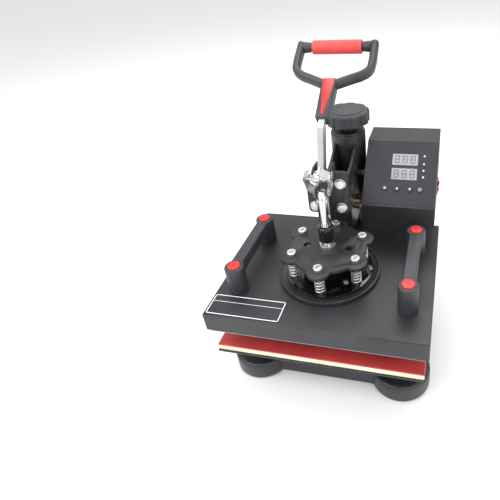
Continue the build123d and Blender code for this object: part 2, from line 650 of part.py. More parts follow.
# Spacer washers between the lever and the ears.
with BuildPart() as lever_spacers:
    for inner_face in (-EAR_IN + LOOSE / 2, LEVER_T / 2):
        with BuildSketch(Plane.YZ.offset(inner_face)):
            with Locations((PIVOT_Y, PIVOT_Z)):
                Circle(PIVOT_HEAD_R)
                Circle(PIVOT_PIN_R + PIN_FIT, mode=Mode.SUBTRACT)
        extrude(amount=EAR_IN - LEVER_T / 2 - LOOSE / 2)
lever_spacers.part.label = "lever_spacers"
export_step(lever_spacers.part, "parts/lever_spacers.step")

# Link strips: a mirrored pair of joggled flat bars from the crank pin down to the plunger.
STRIP_W = 15.0
RIVET_R = 3.0
RIVET_HEAD_R = 4.5
STRIP_FOOT_IN = BARREL_R + LOOSE
STRIP_WIDE_IN = STRIP_OUT - STRIP_T
STRIP_TIP_IN = LEVER_T / 2 + LOOSE
LINK_LENGTH = math.hypot(CRANK_Y - PRESS_Y, CRANK_Z - FOOT_Z)
LINK_LEAN = math.degrees(math.atan2(PRESS_Y - CRANK_Y, CRANK_Z - FOOT_Z))
STRIP_TAIL = 5.0
STRIP_HEAD = 20.0
JOGGLE_START = 8.0
JOGGLE_END = 16.0
HEAD_START = LINK_LENGTH + PIVOT_PIN_R + 2.5
LINK_PLANE = Plane(
    origin=(0, PRESS_Y, FOOT_Z),
    x_dir=(1, 0, 0),
    z_dir=(0, -math.cos(math.radians(LINK_LEAN)), -math.sin(math.radians(LINK_LEAN))),
)


# Edge-on outline of a strip, from its foot up along the link: distance from the middle, then height.
STRIP_INNER = [
    (STRIP_FOOT_IN, -STRIP_TAIL),
    (STRIP_FOOT_IN, JOGGLE_START),
    (STRIP_WIDE_IN, JOGGLE_END),
    (STRIP_WIDE_IN, HEAD_START),
    (STRIP_TIP_IN, LINK_LENGTH + STRIP_HEAD - 4.0),
    (STRIP_TIP_IN, LINK_LENGTH + STRIP_HEAD),
]
STRIP_OUTER = [(x + STRIP_T, s) for x, s in reversed(STRIP_INNER)]
with BuildPart() as link_strips:
    for side in (-1, 1):
        with BuildSketch(LINK_PLANE):
            with BuildLine():
                Polyline(*[(side * x, s) for x, s in STRIP_INNER + STRIP_OUTER], close=True)
            make_face()
        extrude(amount=STRIP_W / 2, both=True)
    with BuildSketch(Plane.YZ.offset(-STRIP_OUT)):
        with Locations((CRANK_Y, CRANK_Z)):
            Circle(PIVOT_PIN_R)
        with Locations((PRESS_Y, FOOT_Z)):
            Circle(RIVET_R)
    extrude(amount=2 * STRIP_OUT, mode=Mode.SUBTRACT)
link_strips.part.label = "link_strips"
export_step(link_strips.part, "parts/link_strips.step")

# Crank pin through the lever and both strips, and the stub rivets at the strips' feet.
with BuildPart() as link_pins:
    with BuildSketch(Plane.YZ.offset(-STRIP_OUT)):
        with Locations((CRANK_Y, CRANK_Z)):
            Circle(PIVOT_PIN_R)
    extrude(amount=2 * STRIP_OUT)
    for head_face in (-STRIP_OUT - PIVOT_HEAD_T, STRIP_OUT):
        with BuildSketch(Plane.YZ.offset(head_face)):
            with Locations((CRANK_Y, CRANK_Z)):
                Circle(PIVOT_HEAD_R)
        extrude(amount=PIVOT_HEAD_T)
    for shank_face, head_face in (
        (-STRIP_FOOT_IN - STRIP_T, -STRIP_FOOT_IN - STRIP_T - PIVOT_HEAD_T),
        (STRIP_FOOT_IN, STRIP_FOOT_IN + STRIP_T),
    ):
        with BuildSketch(Plane.YZ.offset(shank_face)):
            with Locations((PRESS_Y, FOOT_Z)):
                Circle(RIVET_R)
        extrude(amount=STRIP_T)
        with BuildSketch(Plane.YZ.offset(head_face)):
            with Locations((PRESS_Y, FOOT_Z)):
                Circle(RIVET_HEAD_R)
        extrude(amount=PIVOT_HEAD_T)
link_pins.part.label = "link_pins"
export_step(link_pins.part, "parts/link_pins.step")

# Handle frame: a moulded stem that forks to two side arms, with a cross bar for the grip.
STEM_HALF_W = 12.0
STEM_HALF_T = 11.0
STEM_BOTTOM = 5.0
FORK_S = 70.0
FORK_INNER_S = 89.0
CORNER_S = 100.0
ARM_W = 12.7
ARM_HALF_T = 7.5
CORNER_HALF_W = 60.0
GRIP_Y = HANDLE_FOOT_Y + HANDLE_TOP_S * HANDLE_DIR[0]
GRIP_Z = HANDLE_FOOT_Z + HANDLE_TOP_S * HANDLE_DIR[1]
INLAY_W = 11.0
INLAY_LENGTH = FORK_S - 10.0
INLAY_SIDE_ANGLE = 87.5
INLAY_MID_S = (STEM_BOTTOM + FORK_S) / 2 + 4.0
INLAY_SEAT = 1.5
INLAY_T = 2.0
# Handle plane: its Y axis runs up the handle, its normal faces the operator.
HANDLE_PLANE = Plane(
    origin=(0, HANDLE_FOOT_Y, HANDLE_FOOT_Z),
    x_dir=(1, 0, 0),
    z_dir=(0, -HANDLE_DIR[1], HANDLE_DIR[0]),
)
HANDLE_OUTER = [
    (STEM_HALF_W, FORK_S - 8.0),
    (CORNER_HALF_W + 2.0, CORNER_S - 8.0),
    (HANDLE_HALF_W + ARM_W / 2, CORNER_S + 8.0),
    (HANDLE_HALF_W + ARM_W / 2 - 1.0, HANDLE_TOP_S + 4.0),
]
HANDLE_INNER = [
    (HANDLE_HALF_W - ARM_W / 2 - 1.0, HANDLE_TOP_S + 4.0),
    (HANDLE_HALF_W - ARM_W / 2 - 3.0, CORNER_S + 10.0),
    (STEM_HALF_W, CORNER_S - 2.0),
]
with BuildPart() as handle_frame:
    with BuildSketch(HANDLE_PLANE):
        with BuildLine():
            Polyline(
                *HANDLE_OUTER,
                *HANDLE_INNER,
                (0, FORK_INNER_S),
                *[(-x, s) for x, s in reversed(HANDLE_INNER)],
                *[(-x, s) for x, s in reversed(HANDLE_OUTER)],
                close=True,
            )
        make_face()
        fillet(vertices(), radius=2.0)
    extrude(amount=ARM_HALF_T, both=True)
    with BuildSketch(HANDLE_PLANE):
        with Locations((0, (STEM_BOTTOM + FORK_INNER_S - 6.0) / 2)):
            Rectangle(2 * STEM_HALF_W, FORK_INNER_S - 6.0 - STEM_BOTTOM)
    extrude(amount=STEM_HALF_T, both=True)
    with BuildSketch(Plane.YZ.offset(-HANDLE_HALF_W)):
        with Locations((GRIP_Y, GRIP_Z)):
            Circle(GRIP_BAR_R)
    extrude(amount=2 * HANDLE_HALF_W)
    with BuildSketch(Plane.YZ.offset(-LEVER_T / 2)):
        draw_bar((BEND_Y, BEND_Z), (TANG_END_Y, TANG_END_Z), TANG_W)
    extrude(amount=LEVER_T, mode=Mode.SUBTRACT)
    with BuildSketch(HANDLE_PLANE.offset(STEM_HALF_T - INLAY_SEAT)):
        with Locations((0, INLAY_MID_S)):
            Trapezoid(INLAY_W, INLAY_LENGTH, INLAY_SIDE_ANGLE)
    extrude(amount=INLAY_SEAT, mode=Mode.SUBTRACT)
handle_frame.part.label = "handle_frame"
export_step(handle_frame.part, "parts/handle_frame.step")

with BuildPart() as handle_inlay:
    with BuildSketch(HANDLE_PLANE.offset(STEM_HALF_T - INLAY_SEAT)):
        with Locations((0, INLAY_MID_S)):
            Trapezoid(INLAY_W, INLAY_LENGTH, INLAY_SIDE_ANGLE)
    extrude(amount=INLAY_T)
handle_inlay.part.label = "handle_inlay"
export_step(handle_inlay.part, "parts/handle_inlay.step")

with BuildPart() as handle_grip:
    with BuildSketch(Plane.YZ.offset(-GRIP_HALF_W)):
        with Locations((GRIP_Y, GRIP_Z)):
            Circle(GRIP_R)
            Circle(GRIP_BAR_R, mode=Mode.SUBTRACT)
    extrude(amount=2 * GRIP_HALF_W)
handle_grip.part.label = "handle_grip"
export_step(handle_grip.part, "parts/handle_grip.step")

# ================================================================ plunger
with BuildPart() as plunger_rod:
    with BuildSketch(Plane.XY.offset(COVER_TOP + STAR_BOTTOM - HUB_NUT_H)):
        with Locations((0, PRESS_Y)):
            Circle(ROD_R)
    extrude(amount=ROD_TOP - STAR_BOTTOM + HUB_NUT_H)
    chamfer(plunger_rod.edges().group_by(Axis.Z)[-1], length=1.0)
plunger_rod.part.label = "plunger_rod"
export_step(plunger_rod.part, "parts/plunger_rod.step")

with BuildPart() as plunger_collar:
    with BuildSketch(Plane.XY.offset(COVER_TOP + COLLAR_BOTTOM)):
        with Locations((0, PRESS_Y)):
            Circle(COLLAR_R)
            Circle(ROD_R, mode=Mode.SUBTRACT)
    extrude(amount=COLLAR_TOP - COLLAR_BOTTOM)
    fillet(plunger_collar.edges().group_by(Axis.Z)[-1].sort_by(SortBy.LENGTH)[-1], radius=2.0)
plunger_collar.part.label = "plunger_collar"
export_step(plunger_collar.part, "parts/plunger_collar.step")

with BuildPart() as hub_nuts:
    for bottom in (STAR_TOP, STAR_BOTTOM - HUB_NUT_H):
        with BuildSketch(Plane.XY.offset(COVER_TOP + bottom)):
            with Locations((0, PRESS_Y)):
                RegularPolygon(HUB_NUT_R, 6)
                Circle(ROD_R, mode=Mode.SUBTRACT)
        extrude(amount=HUB_NUT_H)
hub_nuts.part.label = "hub_nuts"
export_step(hub_nuts.part, "parts/hub_nuts.step")

# Star plate: a disc with a rounded tip at each bolt and two lightening holes.
with BuildPart() as star_plate:
    with BuildSketch(Plane.XY.offset(COVER_TOP + STAR_BOTTOM)):
        with Locations((0, PRESS_Y)):
            Circle(STAR_WAIST_R)
            with PolarLocations(BOLT_CIRCLE_R, BOLT_COUNT, start_angle=-90):
                Circle(STAR_TIP_R)
            with PolarLocations(BOLT_CIRCLE_R, BOLT_COUNT, start_angle=-90):
                Circle(SHOULDER_BOLT_R + LOOSE, mode=Mode.SUBTRACT)
            with Locations((-STAR_HOLE_X, 0), (STAR_HOLE_X, 0)):
                Circle(STAR_HOLE_R, mode=Mode.SUBTRACT)
            Circle(ROD_R, mode=Mode.SUBTRACT)
    extrude(amount=STAR_T)
star_plate.part.label = "star_plate"
export_step(star_plate.part, "parts/star_plate.step")

# ================================================================ platen
# Cover: a folded sheet box, open below.
with BuildPart() as platen_cover:
    with BuildSketch(Plane.XY.offset(COVER_BOTTOM)):
        with Locations((0, COVER_Y)):
            Rectangle(COVER_W, COVER_D)
    extrude(amount=COVER_H)
    fillet(platen_cover.edges().filter_by(Axis.Z), radius=2.5)
    fillet(platen_cover.faces().sort_by(Axis.Z)[-1].edges(), radius=2.0)
    with BuildSketch(Plane.XY.offset(COVER_BOTTOM)):
        with Locations((0, COVER_Y)):
            RectangleRounded(COVER_W - 2 * COVER_WALL, COVER_D - 2 * COVER_WALL, 1.0)
    extrude(amount=COVER_H - 2.0, mode=Mode.SUBTRACT)
platen_cover.part.label = "platen_cover"
export_step(platen_cover.part, "parts/platen_cover.step")

HEAT_W = COVER_W - 2 * (COVER_WALL + HEAT_PLATE_GAP)
HEAT_D = COVER_D - 2 * (COVER_WALL + HEAT_PLATE_GAP)
with BuildPart() as heat_plate:
    with BuildSketch(Plane.XY.offset(HEAT_BOTTOM)):
        with Locations((0, COVER_Y)):
            RectangleRounded(HEAT_W, HEAT_D, 4.0)
    extrude(amount=HEAT_PLATE_T)
heat_plate.part.label = "heat_plate"
export_step(heat_plate.part, "parts/heat_plate.step")

with BuildPart() as insulation:
    with BuildSketch(Plane.XY.offset(HEAT_TOP)):
        with Locations((0, COVER_Y)):
            Rectangle(HEAT_W - 4.0, HEAT_D - 4.0)
    extrude(amount=COVER_TOP - 2.0 - HEAT_TOP)
insulation.part.label = "insulation"
export_step(insulation.part, "parts/insulation.step")

# Dish and notched plate under the springs.
with BuildPart() as spring_dish:
    with BuildSketch(Plane.XY.offset(COVER_TOP)):
        with Locations((0, PRESS_Y)):
            Circle(DISH_R)
    extrude(amount=DISH_T + DISH_RIM)
    with BuildSketch(Plane.XY.offset(COVER_TOP + DISH_T)):
        with Locations((0, PRESS_Y)):
            Circle(DISH_R - 4.0)
    extrude(amount=DISH_RIM, mode=Mode.SUBTRACT)
    with BuildSketch(Plane.XY.offset(COVER_TOP)):
        with Locations((0, PRESS_Y)):
            with PolarLocations(BOLT_CIRCLE_R, BOLT_COUNT, start_angle=-90):
                Circle(SHOULDER_BOLT_R)
    extrude(amount=DISH_T, mode=Mode.SUBTRACT)
spring_dish.part.label = "spring_dish"
export_step(spring_dish.part, "parts/spring_dish.step")

NOTCH_R = 6.0
with BuildPart() as notched_plate:
    with BuildSketch(Plane.XY.offset(COVER_TOP + DISH_T)):
        with Locations((0, PRESS_Y)):
            Circle(LOBE_PLATE_R)
            with PolarLocations(LOBE_PLATE_R + NOTCH_R / 2, BOLT_COUNT, start_angle=-60):
                Circle(NOTCH_R, mode=Mode.SUBTRACT)
            with PolarLocations(BOLT_CIRCLE_R, BOLT_COUNT, start_angle=-90):
                Circle(SHOULDER_BOLT_R, mode=Mode.SUBTRACT)
    extrude(amount=LOBE_PLATE_T)
notched_plate.part.label = "notched_plate"
export_step(notched_plate.part, "parts/notched_plate.step")

SOCKET_R = 4.2
SOCKET_DEPTH = 4.0
with BuildPart() as shoulder_bolts:
    with BuildSketch(Plane.XY.offset(COVER_TOP)):
        with Locations((0, PRESS_Y)):
            with PolarLocations(BOLT_CIRCLE_R, BOLT_COUNT, start_angle=-90):
                Circle(SHOULDER_BOLT_R)
    extrude(amount=STAR_TOP)
    with BuildSketch(Plane.XY.offset(COVER_TOP + STAR_TOP)):
        with Locations((0, PRESS_Y)):
            with PolarLocations(BOLT_CIRCLE_R, BOLT_COUNT, start_angle=-90):
                Circle(SHOULDER_HEAD_R)
    extrude(amount=SHOULDER_HEAD_H)
    fillet(shoulder_bolts.edges().group_by(Axis.Z)[-1], radius=1.5)
    with BuildSketch(Plane.XY.offset(COVER_TOP + STAR_TOP + SHOULDER_HEAD_H - SOCKET_DEPTH)):
        with Locations((0, PRESS_Y)):
            with PolarLocations(BOLT_CIRCLE_R, BOLT_COUNT, start_angle=-90):
                RegularPolygon(SOCKET_R, 6)
    extrude(amount=SOCKET_DEPTH, mode=Mode.SUBTRACT)
shoulder_bolts.part.label = "shoulder_bolts"
export_step(shoulder_bolts.part, "parts/shoulder_bolts.step")

# Compression springs around the shoulder bolts.
SPRING_SEAT = DISH_T + LOBE_PLATE_T
COIL_R = SPRING_R - SPRING_WIRE_R
SPRING_H = STAR_BOTTOM - SPRING_SEAT - 2 * SPRING_WIRE_R
SPRING_BOTTOM = COVER_TOP + SPRING_SEAT + SPRING_WIRE_R
with BuildPart() as press_springs:
    for index in range(BOLT_COUNT):
        angle = math.radians(-90 + index * 360 / BOLT_COUNT)
        spring_x = BOLT_CIRCLE_R * math.cos(angle)
        spring_y = PRESS_Y + BOLT_CIRCLE_R * math.sin(angle)
        with BuildLine():
            coil = Helix(
                SPRING_H / SPRING_TURNS, SPRING_H, COIL_R, center=(spring_x, spring_y, SPRING_BOTTOM)
            )
        with BuildSketch(Plane(origin=coil @ 0, z_dir=coil % 0)):
            Circle(SPRING_WIRE_R)
        sweep(path=coil, is_frenet=True)
press_springs.part.label = "press_springs"
export_step(press_springs.part, "parts/press_springs.step")

# Carry handles: two posts and a bar each, with a red cap in each post.
CARRY_X = 150.0
CARRY_POST_Y = 73.0
CARRY_POST_R = 17.2
CARRY_TOP = 54.0
CARRY_BAR_BOTTOM = 33.0
CARRY_BAR_HALF_W = 10.8
CAP_R = 11.0
CAP_SEAT = 3.0
CAP_H = 5.5
with BuildPart() as carry_handles:
    with BuildSketch(Plane.XY.offset(COVER_TOP)):
        with Locations((0, PRESS_Y)):
            with GridLocations(2 * CARRY_X, 2 * CARRY_POST_Y, 2, 2):
                Circle(CARRY_POST_R)
    extrude(amount=CARRY_TOP)
    with BuildSketch(Plane.XY.offset(COVER_TOP + CARRY_BAR_BOTTOM)):
        with Locations((-CARRY_X, PRESS_Y), (CARRY_X, PRESS_Y)):
            Rectangle(2 * CARRY_BAR_HALF_W, 2 * CARRY_POST_Y)
    extrude(amount=CARRY_TOP - CARRY_BAR_BOTTOM)
    fillet(carry_handles.edges().group_by(Axis.Z)[-1], radius=2.5)
    with BuildSketch(Plane.XY.offset(COVER_TOP + CARRY_TOP - CAP_SEAT)):
        with Locations((0, PRESS_Y)):
            with GridLocations(2 * CARRY_X, 2 * CARRY_POST_Y, 2, 2):
                Circle(CAP_R)
    extrude(amount=CAP_SEAT, mode=Mode.SUBTRACT)
carry_handles.part.label = "carry_handles"
export_step(carry_handles.part, "parts/carry_handles.step")

with BuildPart() as handle_caps:
    with BuildSketch(Plane.XY.offset(COVER_TOP + CARRY_TOP - CAP_SEAT)):
        with Locations((0, PRESS_Y)):
            with GridLocations(2 * CARRY_X, 2 * CARRY_POST_Y, 2, 2):
                Circle(CAP_R)
    extrude(amount=CAP_H)
    fillet(handle_caps.edges().group_by(Axis.Z)[-1], radius=2.0)
handle_caps.part.label = "handle_caps"
export_step(handle_caps.part, "parts/handle_caps.step")

# Plain plate on the cover's front left corner.
LABEL_W = 134.0
LABEL_D = 47.0
LABEL_X = -120.0
LABEL_Y = PRESS_Y - 114.5
LABEL_T = 0.6
with BuildPart() as plain_plate:
    with BuildSketch(Plane.XY.offset(COVER_TOP)):
        with Locations((LABEL_X, LABEL_Y)):
            RectangleRounded(LABEL_W, LABEL_D, 1.5)
    extrude(amount=LABEL_T)
plain_plate.part.label = "plain_plate"
export_step(plain_plate.part, "parts/plain_plate.step")

# Gland for the heater lead, in the cover's back wall.
GLAND_X = 110.0
GLAND_Z = COVER_BOTTOM + 18.0
GLAND_BORE_R = 4.0
with BuildPart() as heater_gland:
    with BuildSketch(Plane.XZ.offset(-PRESS_Y - COVER_BACK - 14.0)):
        with Locations((GLAND_X, GLAND_Z)):
            Circle(8.0)
            Circle(GLAND_BORE_R, mode=Mode.SUBTRACT)
    extrude(amount=9.0)
    with BuildSketch(Plane.XZ.offset(-PRESS_Y - COVER_BACK - 5.0)):
        with Locations((GLAND_X, GLAND_Z)):
            RegularPolygon(11.0, 6)
            Circle(GLAND_BORE_R, mode=Mode.SUBTRACT)
    extrude(amount=5.0)
heater_gland.part.label = "heater_gland"
export_step(heater_gland.part, "parts/heater_gland.step")

# ================================================================ control box
BOX_X0 = BOX_LEFT
BOX_X1 = BOX_LEFT + BOX_W
PANEL_TOP_POINT = (PRESS_Y + BOX_TOP_FRONT, COVER_TOP + BOX_TOP)
PANEL_FOOT_POINT = (PRESS_Y + BOX_FRONT, COVER_TOP + PANEL_FOOT)
PANEL_LENGTH = math.dist(PANEL_TOP_POINT, PANEL_FOOT_POINT)
PANEL_SIN = (PANEL_TOP_POINT[1] - PANEL_FOOT_POINT[1]) / PANEL_LENGTH
PANEL_COS = (PANEL_TOP_POINT[0] - PANEL_FOOT_POINT[0]) / PANEL_LENGTH
# Panel plane: its origin is the panel's top left corner, its Y axis runs up the slope.
PANEL_PLANE = Plane(
    origin=(BOX_X0, PANEL_TOP_POINT[0], PANEL_TOP_POINT[1]),
    x_dir=(1, 0, 0),
    z_dir=(0, -PANEL_SIN, PANEL_COS),
)
BOX_OUTLINE = [
    (PRESS_Y + BOX_BACK, COVER_TOP + BOX_TOP),
    PANEL_TOP_POINT,
    PANEL_FOOT_POINT,
    (PRESS_Y + BOX_FRONT, COVER_TOP + BOX_BOTTOM),
    (PRESS_Y + BOX_BACK, COVER_TOP + BOX_BOTTOM),
]
# The hollow runs out through the box's back and underside.
BOX_HOLLOW = [
    (PRESS_Y + BOX_BACK + BOX_WALL, COVER_TOP + BOX_TOP - BOX_WALL),
    (PANEL_TOP_POINT[0] + BOX_WALL * (1 - PANEL_COS) / PANEL_SIN, PANEL_TOP_POINT[1] - BOX_WALL),
    (PANEL_FOOT_POINT[0] + BOX_WALL, PANEL_FOOT_POINT[1] - BOX_WALL * (1 - PANEL_SIN) / PANEL_COS),
    (PANEL_FOOT_POINT[0] + BOX_WALL, COVER_TOP + BOX_BOTTOM - BOX_WALL),
    (PRESS_Y + BOX_BACK + BOX_WALL, COVER_TOP + BOX_BOTTOM - BOX_WALL),
]
DISPLAY_X = 76.0
DISPLAY_W = 49.0
DISPLAY_H = 23.0
DISPLAY_PLACES = [(DISPLAY_X, -38.0), (DISPLAY_X, -67.0)]
DISPLAY_DEPTH = 8.0
BUTTON_PLACES = [(42.0, -97.0), (65.0, -97.0), (89.0, -97.0), (108.0, -97.0)]
BUTTON_NAMES = ["button_menu", "button_up", "button_down", "button_power"]
BUTTON_R = 4.5
BUTTON_STEM_R = 4.0
BUTTON_CAP_R = 5.4
BUTTON_STAND = 1.4
BUTTON_TRAVEL = 1.0
LED_PLACES = [(112.0, -30.0), (112.0, -46.0), (112.0, -59.0), (112.0, -72.0)]
LED_R = 1.8
OVERLAY_T = 0.8
OVERLAY_MARGIN = 6.0
ROCKER_Y = PRESS_Y + 195.0
ROCKER_Z = COVER_TOP + 78.0
ROCKER_FRAME_W = 20.0
ROCKER_FRAME_H = 30.0
ROCKER_W = 13.0
ROCKER_H = 22.0
ROCKER_FRAME_T = 2.0
ROCKER_DEPTH = 16.0
INLET_X = BOX_X0 + 100.0
INLET_Z = COVER_TOP + 80.0
INLET_W = 30.0
INLET_H = 24.0
BOX_GLAND_X = BOX_X0 + 40.0
BLADE_PLACES = [(INLET_X - 7.0, INLET_Z - 2.0), (INLET_X, INLET_Z + 3.0), (INLET_X + 7.0, INLET_Z - 2.0)]

# Folded shell: the panel, top, left and right walls, open at the back and below.
with BuildPart() as box_shell:
    with BuildSketch(Plane.YZ.offset(BOX_X0)):
        with BuildLine():
            Polyline(*BOX_OUTLINE, close=True)
        make_face()
    extrude(amount=BOX_W)
    fillet(box_shell.edges().filter_by(Axis.X).group_by(Axis.Z)[-1], radius=2.0)
    with BuildSketch(Plane.YZ.offset(BOX_X0 + BOX_WALL)):
        with BuildLine():
            Polyline(*BOX_HOLLOW, close=True)
        make_face()
    extrude(amount=BOX_W - 2 * BOX_WALL, mode=Mode.SUBTRACT)
    with BuildSketch(PANEL_PLANE.offset(-2 * BOX_WALL)):
        with Locations(*DISPLAY_PLACES):
            Rectangle(DISPLAY_W, DISPLAY_H)
        with Locations(*BUTTON_PLACES):
            Circle(BUTTON_R)
        with Locations(*LED_PLACES):
            Circle(LED_R)
    extrude(amount=4 * BOX_WALL, mode=Mode.SUBTRACT)
    with BuildSketch(Plane.YZ.offset(BOX_X1 - 2 * BOX_WALL)):
        with Locations((ROCKER_Y, ROCKER_Z)):
            Rectangle(ROCKER_FRAME_W - 4.0, ROCKER_FRAME_H - 4.0)
    extrude(amount=4 * BOX_WALL, mode=Mode.SUBTRACT)
    with BuildSketch(Plane.YZ.offset(BOX_X0 - BOX_WALL)):
        with Locations(*BOX_BOLT_PLACES):
            Circle(BOX_BOLT_R)
    extrude(amount=3 * BOX_WALL, mode=Mode.SUBTRACT)
box_shell.part.label = "box_shell"
export_step(box_shell.part, "parts/box_shell.step")

# Back cover: a bent sheet that closes the box behind and below.
BACK_INSET = BOX_WALL + 0.1
with BuildPart() as box_back:
    with BuildSketch(Plane.YZ.offset(BOX_X0 + BACK_INSET)):
        with BuildLine():
            Polyline(
                (PRESS_Y + BOX_BACK - BOX_WALL, COVER_TOP + BOX_TOP - BACK_INSET),
                (PRESS_Y + BOX_BACK, COVER_TOP + BOX_TOP - BACK_INSET),
                (PRESS_Y + BOX_BACK, COVER_TOP + BOX_BOTTOM),
                (PRESS_Y + BOX_FRONT + BACK_INSET, COVER_TOP + BOX_BOTTOM),
                (PRESS_Y + BOX_FRONT + BACK_INSET, COVER_TOP + BOX_BOTTOM + BOX_WALL),
                (PRESS_Y + BOX_BACK - BOX_WALL, COVER_TOP + BOX_BOTTOM + BOX_WALL),
                close=True,
            )
        make_face()
    extrude(amount=BOX_W - 2 * BACK_INSET)
    with BuildSketch(Plane.XZ.offset(-PRESS_Y - BOX_BACK - BOX_WALL)):
        with Locations((INLET_X, INLET_Z)):
            Rectangle(INLET_W, INLET_H)
        with Locations((BOX_GLAND_X, INLET_Z)):
            Circle(7.0)
    extrude(amount=4 * BOX_WALL, mode=Mode.SUBTRACT)
box_back.part.label = "box_back"
export_step(box_back.part, "parts/box_back.step")

# Mains inlet: a flanged socket with a recess for the plug and three blades.
with BuildPart() as mains_inlet:
    with BuildSketch(Plane.XZ.offset(-PRESS_Y - BOX_BACK + 20.0)):
        with Locations((INLET_X, INLET_Z)):
            Rectangle(INLET_W - 0.4, INLET_H - 0.4)
    extrude(amount=-20.0)
    with BuildSketch(Plane.XZ.offset(-PRESS_Y - BOX_BACK)):
        with Locations((INLET_X, INLET_Z)):
            RectangleRounded(INLET_W + 10.0, INLET_H + 6.0, 3.0)
    extrude(amount=-2.5)
    with BuildSketch(Plane.XZ.offset(-PRESS_Y - BOX_BACK - 2.5)):
        with Locations((INLET_X, INLET_Z)):
            Rectangle(INLET_W - 6.0, INLET_H - 8.0)
    extrude(amount=16.0, mode=Mode.SUBTRACT)
    with BuildSketch(Plane.XZ.offset(-PRESS_Y - BOX_BACK + 13.5)):
        with Locations(*BLADE_PLACES):
            Rectangle(2.0, 4.0)
    extrude(amount=-12.0)
mains_inlet.part.label = "mains_inlet"
export_step(mains_inlet.part, "parts/mains_inlet.step")

with BuildPart() as lead_gland:
    with BuildSketch(Plane.XZ.offset(-PRESS_Y - BOX_BACK)):
        with Locations((BOX_GLAND_X, INLET_Z)):
            RegularPolygon(10.0, 6)
            Circle(GLAND_BORE_R, mode=Mode.SUBTRACT)
    extrude(amount=-4.0)
    with BuildSketch(Plane.XZ.offset(-PRESS_Y - BOX_BACK + 6.0)):
        with Locations((BOX_GLAND_X, INLET_Z)):
            Circle(6.9)
            Circle(GLAND_BORE_R, mode=Mode.SUBTRACT)
    extrude(amount=-6.0)
lead_gland.part.label = "lead_gland"
export_step(lead_gland.part, "parts/lead_gland.step")

# Printed overlay on the panel.
with BuildPart() as panel_overlay:
    with BuildSketch(PANEL_PLANE):
        with Locations((BOX_W / 2, -PANEL_LENGTH / 2)):
            RectangleRounded(BOX_W - 2 * OVERLAY_MARGIN, PANEL_LENGTH - 2 * OVERLAY_MARGIN, 3.0)
        with Locations(*DISPLAY_PLACES):
            Rectangle(DISPLAY_W, DISPLAY_H, mode=Mode.SUBTRACT)
        with Locations(*BUTTON_PLACES):
            Circle(BUTTON_R, mode=Mode.SUBTRACT)
        with Locations(*LED_PLACES):
            Circle(LED_R, mode=Mode.SUBTRACT)
    extrude(amount=OVERLAY_T)
panel_overlay.part.label = "panel_overlay"
export_step(panel_overlay.part, "parts/panel_overlay.step")

with BuildPart() as display_modules:
    with BuildSketch(PANEL_PLANE.offset(-DISPLAY_DEPTH)):
        with Locations(*DISPLAY_PLACES):
            Rectangle(DISPLAY_W - 0.4, DISPLAY_H - 0.4)
    extrude(amount=DISPLAY_DEPTH + OVERLAY_T / 2)
display_modules.part.label = "display_modules"
export_step(display_modules.part, "parts/display_modules.step")

# Circuit board with the standoffs that hold it to the back of the panel.
PCB_T = 1.6
BOARD_SIZE = 100.0
STANDOFF_PITCH = 88.0
STANDOFF_R = 3.0
PCB_DROP = DISPLAY_DEPTH + PCB_T
with BuildPart() as control_board:
    with BuildSketch(PANEL_PLANE.offset(-PCB_DROP)):
        with Locations((DISPLAY_X, -PANEL_LENGTH / 2)):
            Rectangle(BOARD_SIZE, BOARD_SIZE)
    extrude(amount=PCB_T)
    with BuildSketch(PANEL_PLANE.offset(-DISPLAY_DEPTH)):
        with Locations((DISPLAY_X, -PANEL_LENGTH / 2)):
            with GridLocations(STANDOFF_PITCH, STANDOFF_PITCH, 2, 2):
                Circle(STANDOFF_R)
    extrude(amount=DISPLAY_DEPTH - BOX_WALL)
control_board.part.label = "control_board"
export_step(control_board.part, "parts/control_board.step")

with BuildPart() as panel_leds:
    with BuildSketch(PANEL_PLANE.offset(-DISPLAY_DEPTH)):
        with Locations(*LED_PLACES):
            Circle(LED_R - 0.1)
    extrude(amount=DISPLAY_DEPTH + OVERLAY_T)
panel_leds.part.label = "panel_leds"
export_step(panel_leds.part, "parts/panel_leds.step")

for place, name in zip(BUTTON_PLACES, BUTTON_NAMES):
    with BuildPart() as panel_button:
        with BuildSketch(PANEL_PLANE.offset(-DISPLAY_DEPTH + BUTTON_TRAVEL + LOOSE)):
            with Locations(place):
                Circle(BUTTON_STEM_R)
        extrude(amount=DISPLAY_DEPTH + OVERLAY_T)
        with BuildSketch(PANEL_PLANE.offset(OVERLAY_T + BUTTON_TRAVEL + LOOSE)):
            with Locations(place):
                Circle(BUTTON_CAP_R)
        extrude(amount=BUTTON_STAND)
    panel_button.part.label = name
    export_step(panel_button.part, f"parts/{name}.step")

# Rocker switch in the right wall: a frame with a pivoting red rocker.
with BuildPart() as rocker_frame:
    with BuildSketch(Plane.YZ.offset(BOX_X1)):
        with Locations((ROCKER_Y, ROCKER_Z)):
            RectangleRounded(ROCKER_FRAME_W, ROCKER_FRAME_H, 2.0)
    extrude(amount=ROCKER_FRAME_T)
    with BuildSketch(Plane.YZ.offset(BOX_X1 - ROCKER_DEPTH)):
        with Locations((ROCKER_Y, ROCKER_Z)):
            Rectangle(ROCKER_FRAME_W - 4.2, ROCKER_FRAME_H - 4.2)
    extrude(amount=ROCKER_DEPTH)
    with BuildSketch(Plane.YZ.offset(BOX_X1 - ROCKER_DEPTH + 3.0)):
        with Locations((ROCKER_Y, ROCKER_Z)):
            Rectangle(ROCKER_W + 2 * LOOSE, ROCKER_H + 2 * LOOSE)
    extrude(amount=ROCKER_DEPTH, mode=Mode.SUBTRACT)
rocker_frame.part.label = "rocker_frame"
export_step(rocker_frame.part, "parts/rocker_frame.step")

